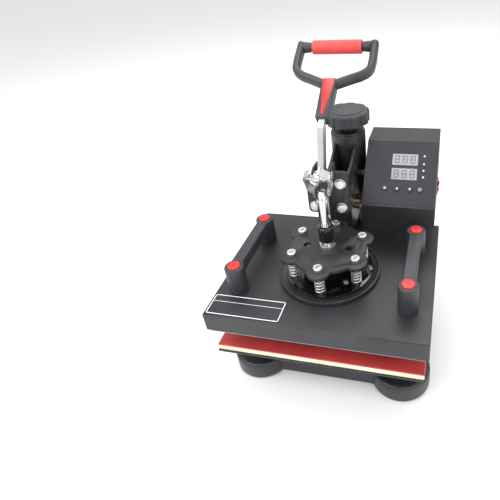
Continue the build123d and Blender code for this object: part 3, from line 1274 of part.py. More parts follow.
ROCKER_AXIS_X = BOX_X1 - 6.0
ROCKER_BOSS_R = 5.0
ROCKER_TIP_X = BOX_X1 + ROCKER_FRAME_T + 2.5
ROCKER_DIP = 2.5
ROCKER_TIP_Z = ROCKER_H / 2 - 2.2
with BuildPart() as rocker:
    with BuildSketch(Plane.XZ.offset(-ROCKER_Y)):
        with Locations((ROCKER_AXIS_X, ROCKER_Z)):
            Circle(ROCKER_BOSS_R)
        with BuildLine():
            Polyline(
                (ROCKER_AXIS_X, ROCKER_Z + ROCKER_BOSS_R - 2.0),
                (ROCKER_TIP_X, ROCKER_Z + ROCKER_TIP_Z),
                (ROCKER_TIP_X - ROCKER_DIP, ROCKER_Z),
                (ROCKER_TIP_X, ROCKER_Z - ROCKER_TIP_Z),
                (ROCKER_AXIS_X, ROCKER_Z - ROCKER_BOSS_R + 2.0),
                close=True,
            )
        make_face()
    extrude(amount=ROCKER_W / 2, both=True)
rocker.part.label = "rocker"
export_step(rocker.part, "parts/rocker.step")

# Bolts, spacers and nuts between the arm's right plate and the box.
SPACER_R = 6.5
SPACER_LENGTH = 13.0
NUT_R = 8.0
with BuildPart() as box_bolts:
    with BuildSketch(Plane.YZ.offset(ARM_IN)):
        with Locations(*BOX_BOLT_PLACES):
            Circle(BOX_BOLT_R)
    extrude(amount=BOX_X0 + BOX_WALL - ARM_IN)
    with BuildSketch(Plane.YZ.offset(BOX_X0 + BOX_WALL)):
        with Locations(*BOX_BOLT_PLACES):
            RegularPolygon(NUT_R, 6)
    extrude(amount=5.0)
box_bolts.part.label = "box_bolts"
export_step(box_bolts.part, "parts/box_bolts.step")

with BuildPart() as box_spacers:
    with BuildSketch(Plane.YZ.offset(ARM_OUT)):
        with Locations(*BOX_BOLT_PLACES):
            Circle(SPACER_R)
            Circle(BOX_BOLT_R, mode=Mode.SUBTRACT)
    extrude(amount=SPACER_LENGTH)
    with BuildSketch(Plane.YZ.offset(ARM_OUT + SPACER_LENGTH)):
        with Locations(*BOX_BOLT_PLACES):
            RegularPolygon(NUT_R, 6)
            Circle(BOX_BOLT_R, mode=Mode.SUBTRACT)
    extrude(amount=BOX_X0 - ARM_OUT - SPACER_LENGTH)
box_spacers.part.label = "box_spacers"
export_step(box_spacers.part, "parts/box_spacers.step")

# Power transformer and relay block on the floor of the box.
with BuildPart() as power_block:
    with BuildSketch(Plane.XY.offset(COVER_TOP + BOX_BOTTOM + BOX_WALL)):
        with Locations((BOX_X0 + 60.0, PRESS_Y + BOX_BACK - 45.0)):
            Rectangle(46.0, 38.0)
    extrude(amount=34.0)
power_block.part.label = "power_block"
export_step(power_block.part, "parts/power_block.step")
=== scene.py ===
"""Looks of the swing-away heat press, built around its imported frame. Metres; X right, Y back, Z up."""
import bpy
import json
import math
from mathutils import Matrix, Vector

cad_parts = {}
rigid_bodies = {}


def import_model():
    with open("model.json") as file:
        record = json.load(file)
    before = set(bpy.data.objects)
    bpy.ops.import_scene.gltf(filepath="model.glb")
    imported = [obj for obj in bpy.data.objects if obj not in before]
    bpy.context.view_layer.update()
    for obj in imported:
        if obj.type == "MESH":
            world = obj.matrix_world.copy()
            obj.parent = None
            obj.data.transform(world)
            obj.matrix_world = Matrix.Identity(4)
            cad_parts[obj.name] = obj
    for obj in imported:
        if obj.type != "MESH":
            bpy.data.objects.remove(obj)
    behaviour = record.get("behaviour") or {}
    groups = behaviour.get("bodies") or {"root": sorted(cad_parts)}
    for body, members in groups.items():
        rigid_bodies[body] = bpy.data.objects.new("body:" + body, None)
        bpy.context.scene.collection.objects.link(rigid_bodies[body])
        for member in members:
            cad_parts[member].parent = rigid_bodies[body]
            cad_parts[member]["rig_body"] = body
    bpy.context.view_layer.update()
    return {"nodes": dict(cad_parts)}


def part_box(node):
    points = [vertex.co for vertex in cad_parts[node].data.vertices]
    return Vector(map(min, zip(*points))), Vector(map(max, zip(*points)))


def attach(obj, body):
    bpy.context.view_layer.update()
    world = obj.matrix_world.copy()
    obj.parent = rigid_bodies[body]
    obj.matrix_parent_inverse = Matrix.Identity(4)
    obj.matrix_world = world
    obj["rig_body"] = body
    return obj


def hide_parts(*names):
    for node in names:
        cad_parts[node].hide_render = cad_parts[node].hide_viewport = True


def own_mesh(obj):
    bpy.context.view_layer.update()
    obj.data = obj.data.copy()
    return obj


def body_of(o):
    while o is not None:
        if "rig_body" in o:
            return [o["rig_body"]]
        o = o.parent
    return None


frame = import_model()

# ---------------------------------------------------------------- base pan and steelwork
# The pan, column, arm and covers are mild steel, pressed or folded from sheet, welded, and baked with black
# powder. The coat is satin with a fine peel, and the finished copies roll softly over their edges.
MM = 0.001
PEEL = 0.9 * MM
CLOUD = 60 * MM


def linear(hex_colour):
    """An sRGB hex colour as linear red, green, blue and alpha."""
    parts = [int(hex_colour[i:i + 2], 16) / 255 for i in (1, 3, 5)]
    return [c / 12.92 if c <= 0.04045 else ((c + 0.055) / 1.055) ** 2.4 for c in parts] + [1.0]


def add_node(tree, kind, settings=None, links=None):
    """Adds a shader node with its settings, and links other sockets into it."""
    node = tree.nodes.new(kind)
    for name, value in (settings or {}).items():
        if name in node.inputs:
            node.inputs[name].default_value = value
        else:
            setattr(node, name, value)
    for name, source in (links or {}).items():
        tree.links.new(source, node.inputs[name])
    return node


CLOUD_STOPS = (0.32, 0.7)
SHINE_BELOW, SHINE_ABOVE = 0.05, 0.07
RELIEF_STRENGTH = 0.35
LACQUER_ROUGHNESS = 0.12


def finish(name, dark, light, roughness, cloud, grain, depth, metallic=0.0, coat=0.0, specular=0.5):
    """A surface of two close tones in clouds, with a grain that moves its roughness and its relief."""
    material = bpy.data.materials.new(name)
    material.use_nodes = True
    tree = material.node_tree
    shader = tree.nodes["Principled BSDF"]
    place = add_node(tree, "ShaderNodeTexCoord")
    clouds = add_node(tree, "ShaderNodeTexNoise", {"Scale": 1 / cloud, "Detail": 4.0},
                      {"Vector": place.outputs["Object"]})
    tones = add_node(tree, "ShaderNodeValToRGB", {}, {"Fac": clouds.outputs["Fac"]})
    for stop, where, colour in zip(tones.color_ramp.elements, CLOUD_STOPS, (dark, light)):
        stop.position, stop.color = where, linear(colour)
    fine = add_node(tree, "ShaderNodeTexNoise", {"Scale": 1 / grain, "Detail": 2.0},
                    {"Vector": place.outputs["Object"]})
    shine = add_node(tree, "ShaderNodeMapRange",
                     {"To Min": roughness - SHINE_BELOW, "To Max": roughness + SHINE_ABOVE},
                     {"Value": fine.outputs["Fac"]})
    relief = add_node(tree, "ShaderNodeBump", {"Strength": RELIEF_STRENGTH, "Distance": depth},
                      {"Height": fine.outputs["Fac"]})
    tree.links.new(tones.outputs["Color"], shader.inputs["Base Color"])
    tree.links.new(shine.outputs["Result"], shader.inputs["Roughness"])
    tree.links.new(relief.outputs["Normal"], shader.inputs["Normal"])
    shader.inputs["Metallic"].default_value = metallic
    shader.inputs["Coat Weight"].default_value = coat
    shader.inputs["Coat Roughness"].default_value = LACQUER_ROUGHNESS
    shader.inputs["Specular IOR Level"].default_value = specular
    return material


def only(obj):
    """Leaves one object selected and active."""
    bpy.ops.object.select_all(action="DESELECT")
    obj.select_set(True)
    bpy.context.view_layer.objects.active = obj


def roll_edges(piece, width, steps=2, sharp=32):
    """Rolls over a piece's sharp edges and shades it smooth between them."""
    only(piece)
    bevel = piece.modifiers.new("rolled_edge", "BEVEL")
    bevel.width = width
    bevel.segments = steps
    bevel.limit_method = "ANGLE"
    bevel.angle_limit = math.radians(sharp)
    bpy.ops.object.modifier_apply(modifier=bevel.name)
    bpy.ops.object.shade_smooth_by_angle(angle=math.radians(sharp))


MERGE_GAP = 0.002 * MM
FLAT_ANGLE = math.radians(0.5)


def finished_copy(node, material, width, steps=2):
    """A merged copy of a CAD node with its edges rolled over, which stands for the node."""
    source = frame["nodes"][node]
    piece = bpy.data.objects.new(node + "_finished", source.data.copy())
    bpy.context.collection.objects.link(piece)
    only(piece)
    bpy.ops.object.mode_set(mode="EDIT")
    bpy.ops.mesh.select_all(action="SELECT")
    bpy.ops.mesh.remove_doubles(threshold=MERGE_GAP)
    bpy.ops.mesh.dissolve_limited(angle_limit=FLAT_ANGLE)
    bpy.ops.object.mode_set(mode="OBJECT")
    roll_edges(piece, width, steps)
    piece.data.materials.clear()
    piece.data.materials.append(material)
    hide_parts(node)
    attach(piece, body_of(source)[0])
    return piece


def dress(material, *nodes):
    """Gives CAD nodes their finish as they are."""
    for node in nodes:
        frame["nodes"][node].data.materials.clear()
        frame["nodes"][node].data.materials.append(material)


# Satin powder coat: charcoal rather than black, because the peel scatters light.
powder_black = finish("satin_black_powder_coat", "#202123", "#2c2e31", 0.4, CLOUD, PEEL, 0.05 * MM)
POWDER_EDGES = {"base_pan": 0.8, "pedestal": 0.5, "arm_side_plates": 0.8, "arm_front_plate": 0.7,
                "mount_bracket": 0.7, "star_plate": 1.2, "spring_dish": 0.8, "box_back": 0.3}
for node, edge in POWDER_EDGES.items():
    finished_copy(node, powder_black, edge * MM)
dress(powder_black, "column_post", "arm_sleeve", "arm_web", "box_shell", "platen_cover")

# Feet are pressed-in rubber discs, dull and slightly dusty.
foot_rubber = finish("black_foot_rubber", "#101011", "#1b1b1c", 0.72, 20 * MM, 0.8 * MM, 0.08 * MM)
dress(foot_rubber, "rubber_feet")

# The bush, ring and plate that carry load are left in black oxide, which shows a thin oily sheen.
black_oxide = finish("black_oxide_steel", "#1a1b1e", "#2b2c30", 0.33, 15 * MM, PEEL, 0.02 * MM)
dress(black_oxide, "lower_plate", "lift_bush", "retaining_ring")

# ---------------------------------------------------------------- foam bed and silicone sheet
# The bed is a sheet of cream silicone sponge under a sheet of red silicone, both cut from the roll and laid
# on the lower plate. Their cut sides bulge a little.
# The sponge is dull and open at its cut sides. The silicone has a soft satin shine.
sponge = finish("cream_silicone_sponge", "#e4d3b4", "#f6e9d2", 0.85, 30 * MM, 1.4 * MM, 0.4 * MM,
                specular=0.2)
silicone = finish("smooth_red_silicone", "#a83533", "#bb403d", 0.4, 70 * MM, 1.2 * MM, 0.04 * MM)


SHEET_CUTS = 27
WAVE_ACROSS, WAVE_ALONG = 41 * MM, 33 * MM
SIDE_REACH = 0.01 * MM
SHEET_EDGE = 0.7 * MM


def bed_sheet(name, node, material, bulge, wave):
    """A flat sheet with bulged sides and a faint waviness on top, which stands for its CAD node."""
    low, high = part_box(node)
    middle, size = (low + high) / 2, high - low
    bpy.ops.object.select_all(action="DESELECT")
    bpy.ops.mesh.primitive_cube_add(size=1, location=(0, 0, 0))
    sheet = bpy.context.object
    sheet.name = name
    bpy.ops.object.mode_set(mode="EDIT")
    bpy.ops.mesh.select_all(action="SELECT")
    bpy.ops.mesh.subdivide(number_cuts=SHEET_CUTS)
    bpy.ops.transform.resize(value=(size.x - 2 * bulge, size.y - 2 * bulge, size.z))
    bpy.ops.object.mode_set(mode="OBJECT")
    for vertex in sheet.data.vertices:
        x, y, z = vertex.co
        up = 2 * z / size.z
        puff = bulge * (1 - up * up)
        if abs(x) > size.x / 2 - bulge - SIDE_REACH:
            x += math.copysign(puff, x)
        if abs(y) > size.y / 2 - bulge - SIDE_REACH:
            y += math.copysign(puff, y)
        if up > 0.99:
            z -= wave * (1 + math.sin(x / WAVE_ACROSS) * math.cos(y / WAVE_ALONG))
        vertex.co = middle + Vector((x, y, z))
    roll_edges(sheet, SHEET_EDGE, 3)
    sheet.data.materials.append(material)
    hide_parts(node)
    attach(sheet, "base")
    return sheet


bed_sheet("foam_bed", "foam_pad", sponge, 0.8 * MM, 0.0)
bed_sheet("silicone_sheet", "silicone_pad", silicone, 0.4 * MM, 0.12 * MM)

# ---------------------------------------------------------------- bright fasteners, lever and springs
# Bolts, nuts, the lever and its links are steel with a bright zinc plate, cloudy white where it is thick. The
# barrel and the rod in it are ground and chromed.
# The plating's patches are drawn coarser than the real ones, so that they show. Zinc is a bright, slightly
# cloudy mirror, and chrome a sharp one with a warm cast.
SPECKLE = 1.6 * MM
bright_zinc = finish("bright_zinc_plate", "#d3d5d7", "#e4e6e7", 0.34, 12 * SPECKLE, SPECKLE, 0.001 * MM, 1.0)
chrome = finish("polished_chrome", "#cfc8c9", "#e2dcdc", 0.12, 30 * MM, 6 * SPECKLE, 0.001 * MM, 1.0)
# Turned steel and brass and ground aluminium keep fine tool marks, which blur what they mirror.
turned_steel = finish("turned_steel", "#8e9196", "#b4b7bb", 0.3, 8 * MM, SPECKLE, 0.02 * MM, 1.0)
turned_brass = finish("turned_brass", "#b89a64", "#dcc290", 0.3, 8 * MM, SPECKLE, 0.02 * MM, 1.0)
ground_aluminium = finish("ground_aluminium", "#8b8d90", "#a9abae", 0.38, 30 * MM, SPECKLE, 0.03 * MM, 1.0)
ZINC_EDGES = {"shoulder_bolts": 0.4, "mount_bolts": 0.3, "lever_pivot_pin": 0.3, "hub_nuts": 0.8,
              "flange_bolts": 0.6, "box_bolts": 0.5}
for node, edge in ZINC_EDGES.items():
    finished_copy(node, bright_zinc, edge * MM)
dress(bright_zinc, "lever", "link_strips", "link_pins", "platen_screws", "lever_spacers")

# The springs shorten by the platen's float. Theirs is a plain copy of the CAD coils in bright zinc, with a
# mesh of its own.
springs = frame["nodes"]["press_springs"]
coils = bpy.data.objects.new("spring_coils", springs.data.copy())
bpy.context.collection.objects.link(coils)
coils.data.materials.clear()
coils.data.materials.append(bright_zinc)
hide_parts("press_springs")
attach(coils, body_of(springs)[0])
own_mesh(coils)
dress(chrome, "guide_barrel", "plunger_rod")
dress(turned_steel, "pressure_screw", "power_block")
spacers = finished_copy("box_spacers", turned_brass, 0.3 * MM)
spacers.data.materials.append(black_oxide)
UPPER_SPACER_Z = 285 * MM
for face in spacers.data.polygons:
    face.material_index = 1 if face.center.z > UPPER_SPACER_Z else 0
dress(ground_aluminium, "heat_plate")

# ---------------------------------------------------------------- plunger collar and notched plate
# Both are turned or cut from steel and finished in a gloss black stoving enamel, which pools into a skin that
# looks wet. The collar sits on the rod over the star plate, and the plate sits in the spring dish.
gloss_enamel = finish("gloss_black_enamel", "#0a0a0b", "#141416", 0.14, CLOUD, 3 * PEEL, 0.02 * MM, coat=0.6)
finished_copy("notched_plate", gloss_enamel, 0.8 * MM)
finished_copy("plunger_collar", gloss_enamel, 0.8 * MM)

# ---------------------------------------------------------------- knob, handle and other mouldings
# Glass-filled nylon from a spark-eroded mould: charcoal, dull, with every corner rounded by the tool. The
# mould's grain is drawn coarser than the real one, so that it shows.
TEXTURE = 0.8 * MM
black_nylon = finish("textured_black_nylon", "#2a2c2f", "#3a3d41", 0.46, 40 * MM, TEXTURE, 0.06 * MM)
knob = finished_copy("pressure_knob", black_nylon, 1.4 * MM, 3)
finished_copy("carry_handles", black_nylon, 1.6 * MM, 3)
dress(black_nylon, "mains_inlet", "lead_gland", "heater_gland", "rocker_frame")

# Knob cap: a low domed disc snapped into the knob's top over the screw.
KNOB_CAP_R = 31 * MM
KNOB_CAP_H = 2.2 * MM
KNOB_CAP_RINGS = [(6 * MM, 0.5 * MM), (10 * MM, 0.3 * MM)]
knob_low, knob_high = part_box("pressure_knob")
knob_middle = (knob_low + knob_high) / 2
bpy.ops.object.select_all(action="DESELECT")
bpy.ops.mesh.primitive_cylinder_add(vertices=72, radius=KNOB_CAP_R, depth=KNOB_CAP_H,
                                    location=(knob_middle.x, knob_middle.y, knob_high.z))
knob_cap = bpy.context.object
knob_cap.name = "knob_cap"
bpy.ops.object.transform_apply(location=True, rotation=True, scale=True)
bpy.ops.object.mode_set(mode="EDIT")
bpy.ops.mesh.select_all(action="DESELECT")
bpy.ops.object.mode_set(mode="OBJECT")
top_face = max(knob_cap.data.polygons, key=lambda face: face.center.z)
top_face.select = True
bpy.ops.object.mode_set(mode="EDIT")
for inset, rise in KNOB_CAP_RINGS:
    bpy.ops.mesh.inset(thickness=inset)
    bpy.ops.transform.translate(value=(0, 0, rise))
bpy.ops.object.mode_set(mode="OBJECT")
roll_edges(knob_cap, 0.5 * MM, 2, 20)
knob_cap.data.materials.append(black_nylon)
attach(knob_cap, "knob")

# ---------------------------------------------------------------- red grip, caps and rocker
# The grip is a soft rubber sleeve pushed over the handle's bar. Caps and rocker are moulded ABS, a little
# glossy, and the caps are pressed into the ends of the carry handles.
red_abs = finish("moulded_red_abs", "#c4211d", "#d93530", 0.3, 25 * MM, 1.6 * MM, 0.02 * MM)
red_rubber = finish("soft_red_grip_rubber", "#d8403f", "#e5524f", 0.55, 20 * MM, TEXTURE, 0.1 * MM)
finished_copy("handle_grip", red_rubber, 1.6 * MM, 3)
finished_copy("handle_caps", red_abs, 0.5 * MM)
finished_copy("rocker", red_abs, 0.8 * MM, 3)

# ---------------------------------------------------------------- handle frame and inlay
# One nylon moulding: a stem over the lever's tang forks to two round-edged arms, with a bar between their
# ears. A long red ABS wedge is let into the front of the stem, wide at the fork and narrow at the foot.
HANDLE_TILT = math.radians(32.7)
HANDLE_FOOT = Vector((0, -23.5, 468.0)) * MM
along = Vector((0, math.cos(HANDLE_TILT), math.sin(HANDLE_TILT)))
outward = Vector((0, -math.sin(HANDLE_TILT), math.cos(HANDLE_TILT)))
handle_place = Matrix.Translation(HANDLE_FOOT) @ Matrix((
    (1, 0, 0, 0), (0, along.y, outward.y, 0), (0, along.z, outward.z, 0), (0, 0, 0, 1)))


def wedge(name, place, foot_half, head_half, foot, head, bottom, top, edge):
    """A tapered prism between two distances along a piece, from one height to another, in millimetres."""
    bpy.ops.object.select_all(action="DESELECT")
    bpy.ops.mesh.primitive_cube_add(size=2, location=(0, 0, 0))
    prism = bpy.context.object
    prism.name = name
    for vertex in prism.data.vertices:
        half = foot_half if vertex.co.y < 0 else head_half
        x = math.copysign(half, vertex.co.x)
        y = foot if vertex.co.y < 0 else head
        z = bottom if vertex.co.z < 0 else top
        vertex.co = Vector((x, y, z)) * MM
    roll_edges(prism, edge * MM, 3)
    prism.data.transform(place)
    return prism


# Middle line of an arm: out from the fork, round the corner, and up to its ear.
ARM_LINE = [(7, 77), (34, 89), (55, 99), (63.5, 108), (65.8, 122), (65.8, 145), (65.4, 166)]
ARM_ROUND, ARM_FLAT = 6.6, 3.2
ARM_EDGE = 1.6 * MM
ARM_SHARP = 50
CURVE_MERGE_GAP = 0.01 * MM
handle_parts = [wedge("stem", handle_place, foot_half=11.4, head_half=12.6, foot=5, head=85,
                      bottom=-11, top=11, edge=3.6)]
for side in (-1, 1):
    line = bpy.data.curves.new("arm_line", "CURVE")
    line.dimensions = "3D"
    line.twist_mode = "Z_UP"
    line.fill_mode = "FULL"
    line.use_fill_caps = True
    line.bevel_depth = ARM_ROUND * MM
    line.bevel_resolution = 5
    line.extrude = ARM_FLAT * MM
    line.resolution_u = 10
    spline = line.splines.new("BEZIER")
    spline.bezier_points.add(len(ARM_LINE) - 1)
    for point, (x, y) in zip(spline.bezier_points, ARM_LINE):
        point.co = Vector((side * x, y, 0)) * MM
        point.handle_left_type = point.handle_right_type = "AUTO"
    handle_arm = bpy.data.objects.new("handle_arm", line)
    bpy.context.collection.objects.link(handle_arm)
    only(handle_arm)
    bpy.ops.object.convert(target="MESH")
    handle_arm = bpy.context.object
    bpy.ops.object.mode_set(mode="EDIT")
    bpy.ops.mesh.select_all(action="SELECT")
    bpy.ops.mesh.remove_doubles(threshold=CURVE_MERGE_GAP)
    bpy.ops.mesh.normals_make_consistent(inside=False)
    bpy.ops.object.mode_set(mode="OBJECT")
    roll_edges(handle_arm, ARM_EDGE, 3, ARM_SHARP)
    handle_arm.data.transform(handle_place)
    handle_parts.append(handle_arm)
BAR_S, BAR_R, BAR_L = 160, 8.0, 126
COLLAR_R, COLLAR_L, COLLAR_X, COLLAR_LIP = 9.6, 12, 53, 0.3
CROSS_EDGE = 0.5 * MM
bpy.ops.object.select_all(action="DESELECT")
bpy.ops.mesh.primitive_cylinder_add(vertices=48, radius=BAR_R * MM, depth=BAR_L * MM)
bar = bpy.context.object
roll_edges(bar, CROSS_EDGE)
bar.data.transform(handle_place @ Matrix.Translation(Vector((0, BAR_S, 0)) * MM)
                   @ Matrix.Rotation(math.pi / 2, 4, "Y"))
handle_parts.append(bar)
for side in (-1, 1):
    bpy.ops.object.select_all(action="DESELECT")
    bpy.ops.mesh.primitive_cone_add(vertices=48, radius1=COLLAR_R * MM, radius2=(BAR_R + COLLAR_LIP) * MM,
                                    depth=COLLAR_L * MM)
    collar = bpy.context.object
    roll_edges(collar, CROSS_EDGE)
    collar.data.transform(handle_place @ Matrix.Translation(Vector((side * COLLAR_X, BAR_S, 0)) * MM)
                          @ Matrix.Rotation(-side * math.pi / 2, 4, "Y"))
    handle_parts.append(collar)
only(handle_parts[0])
for part in handle_parts:
    part.select_set(True)
bpy.ops.object.join()
handle = bpy.context.object
handle.name = "handle_moulding"
handle.matrix_world = Matrix.Identity(4)
handle.data.materials.clear()
handle.data.materials.append(black_nylon)
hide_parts("handle_frame")
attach(handle, "handle")
red_wedge = wedge("red_wedge", handle_place, foot_half=2.0, head_half=10.6, foot=12, head=82,
                  bottom=9.7, top=11.6, edge=0.4)
red_wedge.data.materials.append(red_abs)
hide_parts("handle_inlay")
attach(red_wedge, "handle")

# ---------------------------------------------------------------- control panel
# The face is a matt black printed polyester film over the folded shell. Two milky windows show the digits,
# and the buttons are dark domes with white printed signs.
# The film is matt, the windows are smooth and milky, and the screen print is a flat white.
film = finish("matt_black_printed_film", "#1f2126", "#292b31", 0.42, CLOUD, TEXTURE, 0.02 * MM)
window = finish("milky_display_window", "#9b9a9f", "#abaaae", 0.25, 30 * MM, 2 * MM, 0.01 * MM)
print_white = finish("white_screen_print", "#e6e7e8", "#f2f3f3", 0.45, 10 * MM, TEXTURE, 0.01 * MM)
# An unlit segment is a shade darker than its window.
unlit_segment = finish("unlit_display_segment", "#6f6c70", "#7d7a7d", 0.3, 10 * MM, TEXTURE, 0.01 * MM)
# The board's lacquer is a dark shiny green. Mineral wool is pale, loose and without shine.
board_resin = finish("green_circuit_board", "#124a26", "#1a5f31", 0.4, 8 * MM, 2 * MM, 0.05 * MM)
wool = finish("mineral_wool_blanket", "#b9b29c", "#d8d2bd", 0.95, 15 * MM, 2.4 * MM, 0.6 * MM, specular=0.1)
dress(film, "panel_overlay", "plain_plate")
dress(window, "display_modules")
dress(print_white, "panel_leds")
dress(board_resin, "control_board")
dress(wool, "insulation")
for node in ("button_menu", "button_up", "button_down", "button_power"):
    finished_copy(node, black_nylon, 0.6 * MM, 3)

PANEL_DROP, PANEL_RUN = 92.3, 96.0
PANEL_LENGTH = math.hypot(PANEL_DROP, PANEL_RUN)
PANEL_RISE, PANEL_BACK = PANEL_DROP / PANEL_LENGTH, PANEL_RUN / PANEL_LENGTH
PANEL_CORNER = Vector((43.2, 134.5, 369.0)) * MM
panel_place = Matrix.Translation(PANEL_CORNER) @ Matrix((
    (1, 0, 0, 0), (0, PANEL_BACK, -PANEL_RISE, 0), (0, PANEL_RISE, PANEL_BACK, 0), (0, 0, 0, 1)))


POINT_SHARE = 0.42


def panel_bar(x, y, length, thick, angle, low, high):
    """A flat bar on the panel with pointed ends, in millimetres from the panel's top left corner."""
    bpy.ops.object.select_all(action="DESELECT")
    bpy.ops.mesh.primitive_cube_add(size=2, location=(0, 0, 0))
    bar = bpy.context.object
    for vertex in bar.data.vertices:
        vertex.co = Vector((vertex.co.x * length / 2, vertex.co.y * thick / 2,
                            low if vertex.co.z < 0 else high))
    only(bar)
    point = bar.modifiers.new("point", "BEVEL")
    point.width = thick * POINT_SHARE
    point.segments = 1
    point.affect = "VERTICES"
    bpy.ops.object.modifier_apply(modifier=point.name)
    bar.data.transform(Matrix.Scale(MM, 4) @ Matrix.Translation((x, y, 0)) @ Matrix.Rotation(angle, 4, "Z"))
    return bar


def joined(name, bars, material, body, place):
    """Joins flat prints into one piece, sets it on its face, and lets it ride."""
    only(bars[0])
    for bar in bars:
        bar.select_set(True)
    bpy.ops.object.join()
    piece = bpy.context.object
    piece.name = name
    piece.data.transform(place)
    piece.data.materials.append(material)
    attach(piece, body)
    return piece


# Seven bars make each figure: three across and four upright, at these places in a figure.
FIGURE_W, FIGURE_H, BAR_T, FIGURE_PITCH = 7.6, 14.0, 1.9, 15.0
WINDOW_X, WINDOW_ROWS = 76, (-38.0, -67.0)
UPRIGHT_GAP, ACROSS_GAP = 0.4, 0.6
FIGURE_LOW, FIGURE_HIGH = 0.3, 0.6
BARS = [(0, 1, 0), (0, 0, 0), (0, -1, 0), (-1, 0.5, 1), (1, 0.5, 1), (-1, -0.5, 1), (1, -0.5, 1)]
figures = []
for centre_y in WINDOW_ROWS:
    for column in (-1, 0, 1):
        for side, level, upright in BARS:
            figures.append(panel_bar(WINDOW_X + column * FIGURE_PITCH + side * FIGURE_W / 2,
                                     centre_y + level * FIGURE_H / 2,
                                     FIGURE_H / 2 - UPRIGHT_GAP if upright else FIGURE_W - ACROSS_GAP, BAR_T,
                                     math.radians(90) if upright else 0.0, FIGURE_LOW, FIGURE_HIGH))
joined("display_figures", figures, unlit_segment, "arm", panel_place)

# The signs stand on the buttons' faces: three strokes, two triangles, and a ring with a stroke.
BUTTON_FACE = 3.45
BUTTON_ROW = -97
MENU_X, UP_X, DOWN_X, POWER_X = 42, 65, 89, 108
STROKE_T = 0.7
MENU_STROKE_L, MENU_PITCH, MENU_RISE = 4.6, 1.6, 0.2
ARROW_R, ARROW_H, ARROW_EDGE = 2.7 * MM, 0.3 * MM, 0.08 * MM
menu_bars = [panel_bar(MENU_X, BUTTON_ROW + row * MENU_PITCH, MENU_STROKE_L, STROKE_T, 0.0,
                       BUTTON_FACE, BUTTON_FACE + MENU_RISE) for row in (-1, 0, 1)]
joined("menu_sign", menu_bars, print_white, "button_menu", panel_place)


def arrow(name, x, angle, body):
    """A printed triangle on a button."""
    bpy.ops.object.select_all(action="DESELECT")
    bpy.ops.mesh.primitive_cylinder_add(vertices=3, radius=ARROW_R, depth=ARROW_H, location=(0, 0, 0))
    sign = bpy.context.object
    sign.data.transform(Matrix.Translation(Vector((x, BUTTON_ROW, BUTTON_FACE)) * MM)
                        @ Matrix.Rotation(angle, 4, "Z"))
    roll_edges(sign, ARROW_EDGE)
    return joined(name, [sign], print_white, body, panel_place)


arrow("up_sign", UP_X, 0.0, "button_up")
arrow("down_sign", DOWN_X, math.pi, "button_down")
RING_R, RING_WIRE_R = 2.7 * MM, 0.32 * MM
POWER_STROKE_Y, POWER_STROKE_L, POWER_RISE = -95.2, 2.6, 0.4
bpy.ops.object.select_all(action="DESELECT")
bpy.ops.mesh.primitive_torus_add(major_radius=RING_R, minor_radius=RING_WIRE_R, major_segments=40,
                                 minor_segments=8, location=(0, 0, 0))
ring = bpy.context.object
ring.data.transform(Matrix.Translation(Vector((POWER_X, BUTTON_ROW, BUTTON_FACE)) * MM))
stroke = panel_bar(POWER_X, POWER_STROKE_Y, POWER_STROKE_L, STROKE_T, math.radians(90),
                   BUTTON_FACE, BUTTON_FACE + POWER_RISE)
joined("power_sign", [ring, stroke], print_white, "button_power", panel_place)

# ---------------------------------------------------------------- framed plate on the cover
# A self-adhesive black plate near the cover's front edge, screen printed with a white border and one white
# rule across it. The print lies a little proud of the plate.
plate_low, plate_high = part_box("plain_plate")
plate_middle = (plate_low + plate_high) / 2
plate_w, plate_d = (plate_high.x - plate_low.x) / MM, (plate_high.y - plate_low.y) / MM
BORDER_INSET, BORDER_T, RULE_T = 2.2, 1.6, 0.9
PRINT_LOW, PRINT_HIGH = -0.05, 0.12
plate_place = Matrix.Translation((plate_middle.x, plate_middle.y, plate_high.z))
border_w, border_d = plate_w - 2 * BORDER_INSET, plate_d - 2 * BORDER_INSET
border = [panel_bar(0, side * border_d / 2, border_w + BORDER_T, BORDER_T, 0.0, PRINT_LOW, PRINT_HIGH)
          for side in (-1, 1)]
border += [panel_bar(side * border_w / 2, 0, border_d + BORDER_T, BORDER_T, math.radians(90),
                     PRINT_LOW, PRINT_HIGH) for side in (-1, 1)]
border.append(panel_bar(0, border_d / 6, border_w, RULE_T, 0.0, PRINT_LOW, PRINT_HIGH))
joined("plate_border", border, print_white, "platen", plate_place)

# ---------------------------------------------------------------- floor, light and camera
# A pale seamless table under a white sky, with soft box lights to the left and right in front and one above
# and behind. They are stage pieces, and no part of the press.
FLOOR_SIZE = 60.0
SKY_STRENGTH = 0.85
LIT_POINT = Vector((0, 0, 0.25))
bpy.ops.object.select_all(action="DESELECT")
bpy.ops.mesh.primitive_plane_add(size=FLOOR_SIZE, location=(0, 0, 0))
floor = bpy.context.object
floor.name = "studio_floor"
paper = bpy.data.materials.new("pale_studio_paper")
paper.use_nodes = True
paper.node_tree.nodes["Principled BSDF"].inputs["Base Color"].default_value = linear("#f4f4f4")
paper.node_tree.nodes["Principled BSDF"].inputs["Roughness"].default_value = 0.9
floor.data.materials.append(paper)

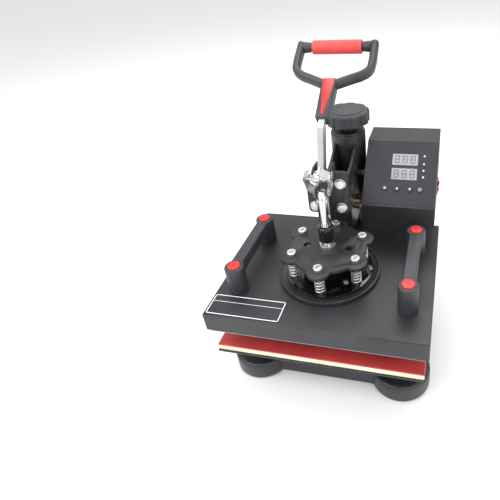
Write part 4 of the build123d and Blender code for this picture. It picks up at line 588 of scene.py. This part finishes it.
SOFT_BOXES = [
    # name, place, size, watts
    ("key_box", (-1.3, -1.2, 2.2), 1.6, 42.0),
    ("fill_box", (1.8, -1.4, 1.5), 1.8, 22.0),
    ("top_box", (0.2, 0.9, 2.4), 1.8, 34.0),
]
for name, place, size, watts in SOFT_BOXES:
    light = bpy.data.lights.new(name, "AREA")
    light.energy = watts
    light.size = size
    lamp = bpy.data.objects.new(name, light)
    lamp.location = place
    lamp.rotation_mode = "QUATERNION"
    lamp.rotation_quaternion = (LIT_POINT - Vector(place)).to_track_quat("-Z", "Y")
    bpy.context.collection.objects.link(lamp)

world = bpy.data.worlds.new("soft_studio")
world.use_nodes = True
world.node_tree.nodes["Background"].inputs["Color"].default_value = linear("#ffffff")
world.node_tree.nodes["Background"].inputs["Strength"].default_value = SKY_STRENGTH
bpy.context.scene.world = world
bpy.context.scene.view_settings.view_transform = "Standard"

# The camera stands to the operator's right, looks down on the press and is rolled a little.
CAMERA_LENS = 31.75
PRESS_TOP = Vector((0, -62.5, 195.0)) * MM
CAMERA_FROM_PRESS = Vector((0.1953, -0.5924, 0.5431))
CAMERA_TURN, CAMERA_TILT, CAMERA_ROLL = 16.13, -32.24, -5.09
CAMERA_SHIFT = (-0.1732, -0.0982)
lens = bpy.data.cameras.new("camera")
lens.sensor_width = 36.0
lens.lens = CAMERA_LENS
lens.shift_x, lens.shift_y = CAMERA_SHIFT
camera = bpy.data.objects.new("camera", lens)
camera.location = PRESS_TOP + CAMERA_FROM_PRESS
look = Vector((-math.sin(math.radians(CAMERA_TURN)) * math.cos(math.radians(CAMERA_TILT)),
               math.cos(math.radians(CAMERA_TURN)) * math.cos(math.radians(CAMERA_TILT)),
               math.sin(math.radians(CAMERA_TILT))))
camera.rotation_mode = "QUATERNION"
camera.rotation_quaternion = look.to_track_quat("-Z", "Y")
camera.rotation_mode = "XYZ"
camera.rotation_euler.rotate_axis("Z", math.radians(CAMERA_ROLL))
bpy.context.collection.objects.link(camera)
bpy.context.scene.camera = camera
